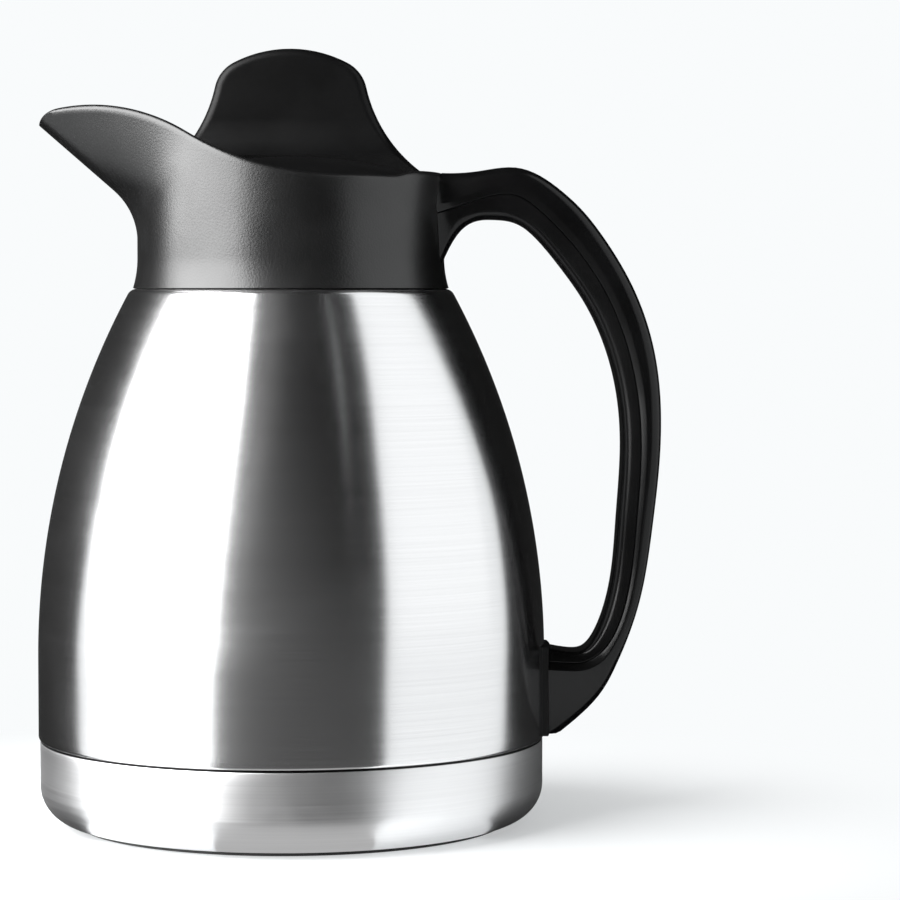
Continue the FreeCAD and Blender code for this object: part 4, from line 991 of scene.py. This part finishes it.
class JUG_OT_stage(Operator):
    """Sets the floor, the dark cards, the soft boxes and the camera"""
    bl_idname = "jug.stage"
    bl_label = "Studio"

    def execute(self, context):
        studio = settings(context).studio
        self.world(context, studio)
        self.floor()
        self.cards(studio)
        self.lamp(studio, "left_box", studio.key_level, studio.key_turn, studio.key_width)
        self.lamp(studio, "right_box", studio.fill_level, studio.fill_turn, studio.fill_width)
        self.camera(context, studio)
        context.scene.view_settings.view_transform = "Standard"
        return {"FINISHED"}

    def seen_plainly(self, tree, x, y):
        """1 for rays that show the background: from the camera, a mirror or glass."""
        rays = add_node(tree, "ShaderNodeLightPath", (x, y)).outputs
        seen = maths(tree, "MAXIMUM", (x + 200, y), rays["Is Camera Ray"], rays["Is Glossy Ray"])
        return maths(tree, "MAXIMUM", (x + 400, y), seen, rays["Is Transmission Ray"])

    def world(self, context, studio):
        world = bpy.data.worlds.new("Studio Air")
        context.scene.world = world
        world.use_nodes = True
        tree = world.node_tree
        strength = ranged(tree, self.seen_plainly(tree, -900, 0), (-200, 0), studio.air, 1.0)
        fill(tree, tree.nodes["Background"], {"Color": PALE, "Strength": strength})

    def floor(self):
        """A pale floor that glows as the background does, and less near the jug, where its shadow lies."""
        begin()
        bpy.ops.mesh.primitive_grid_add(x_subdivisions=8, y_subdivisions=8, size=FLOOR_SIZE,
                                        location=(0, 0, -FLOOR_DROP))
        floor = bpy.context.object
        floor.name = "studio_floor"
        material, tree, shader = new_material("Pale Floor")
        tone = tinted(tree, noise(tree, (-600, 0), Scale=3.0), *FLOOR_TONES, (-300, 0))
        fill(tree, shader, {"Base Color": tone, "Roughness": 0.9, "Specular IOR Level": 0.0})
        glow = add_node(tree, "ShaderNodeEmission", (0, -300), {"Color": PALE})
        away = from_middle(tree, spot_on(tree, (-900, -500)), (-700, -500))
        clear = ranged(tree, away, (-500, -500), low=0.45, start=0.06, end=0.22, soft=True)
        share_seen = maths(tree, "MULTIPLY", (0, 200), self.seen_plainly(tree, -900, 400), clear)
        blend = add_node(tree, "ShaderNodeMixShader", (300, 0), {
            "Fac": share_seen, 1: shader.outputs[0], 2: glow.outputs[0]})
        fill(tree, tree.nodes["Material Output"], {"Surface": blend.outputs[0]})
        floor.data.materials.append(material)

    def card_grey(self, name, left, right, spread, top, foot):
        """A dark grey that goes from left to right, falls off to the top and is lighter at the jug's foot."""
        material, tree, _ = new_material(name)
        spot = spot_on(tree, (-800, 0))
        parts = split_spot(tree, spot, (-600, 0))
        across = ranged(tree, parts["X"], (-400, 100), left, right, -spread, spread)
        fade = ranged(tree, parts["Z"], (-400, -200), 1.0, top, start=0.05, end=0.9)
        away = from_middle(tree, spot, (-600, -400))
        near = ranged(tree, away, (-400, -500), foot, 0.0, start=0.07, end=0.13, soft=True)
        level = maths(tree, "MULTIPLY_ADD", (-200, 0), across, fade, near)
        glow = add_node(tree, "ShaderNodeEmission", (0, -200), {"Strength": level})
        fill(tree, tree.nodes["Material Output"], {"Surface": glow.outputs[0]})
        return material

    def mat(self, studio, left, right):
        """Card rows on the floor: the angles open out, as a mirror on the jug sees them."""
        rows = []
        for distance in MAT_DISTANCES:
            opened = max(MAT_OPENING, 1 - studio.mirror_depth / distance)
            ends = [turn if abs(turn) == 180 else turn * opened for turn in (left, right)]
            rows.append((distance, MAT_HEIGHT, *ends))
        return rows

    def dome(self, studio, spans):
        """Card rows on a dome round the jug: elevation and the two angles."""
        rows = []
        for rise, left, right in spans:
            reach, up = studio.card_radius * math.cos(math.radians(rise)), math.sin(math.radians(rise))
            rows.append((reach, studio.middle + studio.card_radius * up, left, right))
        return rows

    def cards(self, studio):
        greys = {
            "front": self.card_grey("Front Card", left=0.13, right=0.035, spread=0.55, top=0.3, foot=0.4),
            "back": self.card_grey("Back Card", left=0.03, right=0.008, spread=0.6, top=0.8, foot=0.0),
        }
        for name, (grey, mat, spans) in CARDS.items():
            rows = self.mat(studio, *mat) if mat else []
            self.card(name, rows + self.dome(studio, spans), greys[grey])

    def card(self, name, rows, material):
        """A curved card that only mirrors see, from rows of distance, height and two angles."""
        begin()
        bpy.ops.mesh.primitive_grid_add(x_subdivisions=CARD_STEPS, y_subdivisions=len(rows) - 1)
        card = bpy.context.object
        card.name = name
        places = []
        for distance, height, left, right in rows:
            for step in range(CARD_STEPS + 1):
                turn = math.radians(left + (right - left) * step / CARD_STEPS)
                places += [distance * math.sin(turn), -distance * math.cos(turn), height]
        card.data.vertices.foreach_set("co", places)
        card.data.materials.append(material)
        card.visible_camera = card.visible_diffuse = card.visible_shadow = False

    def lamp(self, studio, name, level, turn, width):
        """A soft box at an angle from the front, as bright as white times its level."""
        lamp = bpy.data.lights.new(name, "AREA")
        lamp.shape = "RECTANGLE"
        lamp.size, lamp.size_y = width, studio.lamp_height
        lamp.energy = level * math.pi * width * studio.lamp_height
        thing = bpy.data.objects.new(name, lamp)
        bpy.context.collection.objects.link(thing)
        flat, up = math.cos(studio.lamp_rise), math.sin(studio.lamp_rise)
        place = Vector((flat * math.sin(turn), -flat * math.cos(turn), up))
        thing.location = place * studio.lamp_distance + Vector((0, 0, studio.middle))
        thing.rotation_euler = (-place).to_track_quat("-Z", "Y").to_euler()
        thing.visible_camera = False

    def camera(self, context, studio):
        camera = bpy.data.objects.new("photo_camera", bpy.data.cameras.new("photo_camera"))
        context.collection.objects.link(camera)
        camera.data.lens = studio.lens
        camera.location = (studio.aim_x, -studio.distance, studio.height)
        aim = Vector((studio.aim_x, 0, studio.aim_z)) - camera.location
        camera.rotation_euler = aim.to_track_quat("-Z", "Y").to_euler()
        context.scene.camera = camera


OPERATORS = (JUG_OT_vessel, JUG_OT_collar, JUG_OT_handle, JUG_OT_stopper, JUG_OT_insides, JUG_OT_stage)


class JUG_PT_panel(Panel):
    """The jug's steps and sizes"""
    bl_idname = "JUG_PT_panel"
    bl_label = "Vacuum Jug"
    bl_space_type = "VIEW_3D"
    bl_region_type = "UI"
    bl_category = "Vacuum Jug"

    def draw(self, context):
        layout = self.layout
        for operator in OPERATORS:
            layout.operator(operator.bl_idname)
        jug = settings(context)
        for label, group in (("Steel", jug.vessel), ("Collar", jug.collar), ("Handle", jug.handle),
                             ("Finishes", jug.finishes), ("Studio", jug.studio)):
            box = layout.box()
            box.label(text=label)
            for name in group.bl_rna.properties.keys():
                if name not in ("rna_type", "name"):
                    box.prop(group, name)


CLASSES = (VesselSizes, CollarSizes, HandleSizes, Finishes, StudioSizes, JugSettings,
           *OPERATORS, JUG_PT_panel)


def register():
    for kind in CLASSES:
        bpy.utils.register_class(kind)
    bpy.types.Scene.vacuum_jug = PointerProperty(type=JugSettings)


def unregister():
    del bpy.types.Scene.vacuum_jug
    for kind in reversed(CLASSES):
        bpy.utils.unregister_class(kind)


def main():
    register()
    bpy.ops.jug.vessel()
    bpy.ops.jug.collar()
    bpy.ops.jug.handle()
    bpy.ops.jug.stopper()
    bpy.ops.jug.insides()
    bpy.ops.jug.stage()


if __name__ == "__main__":
    main()
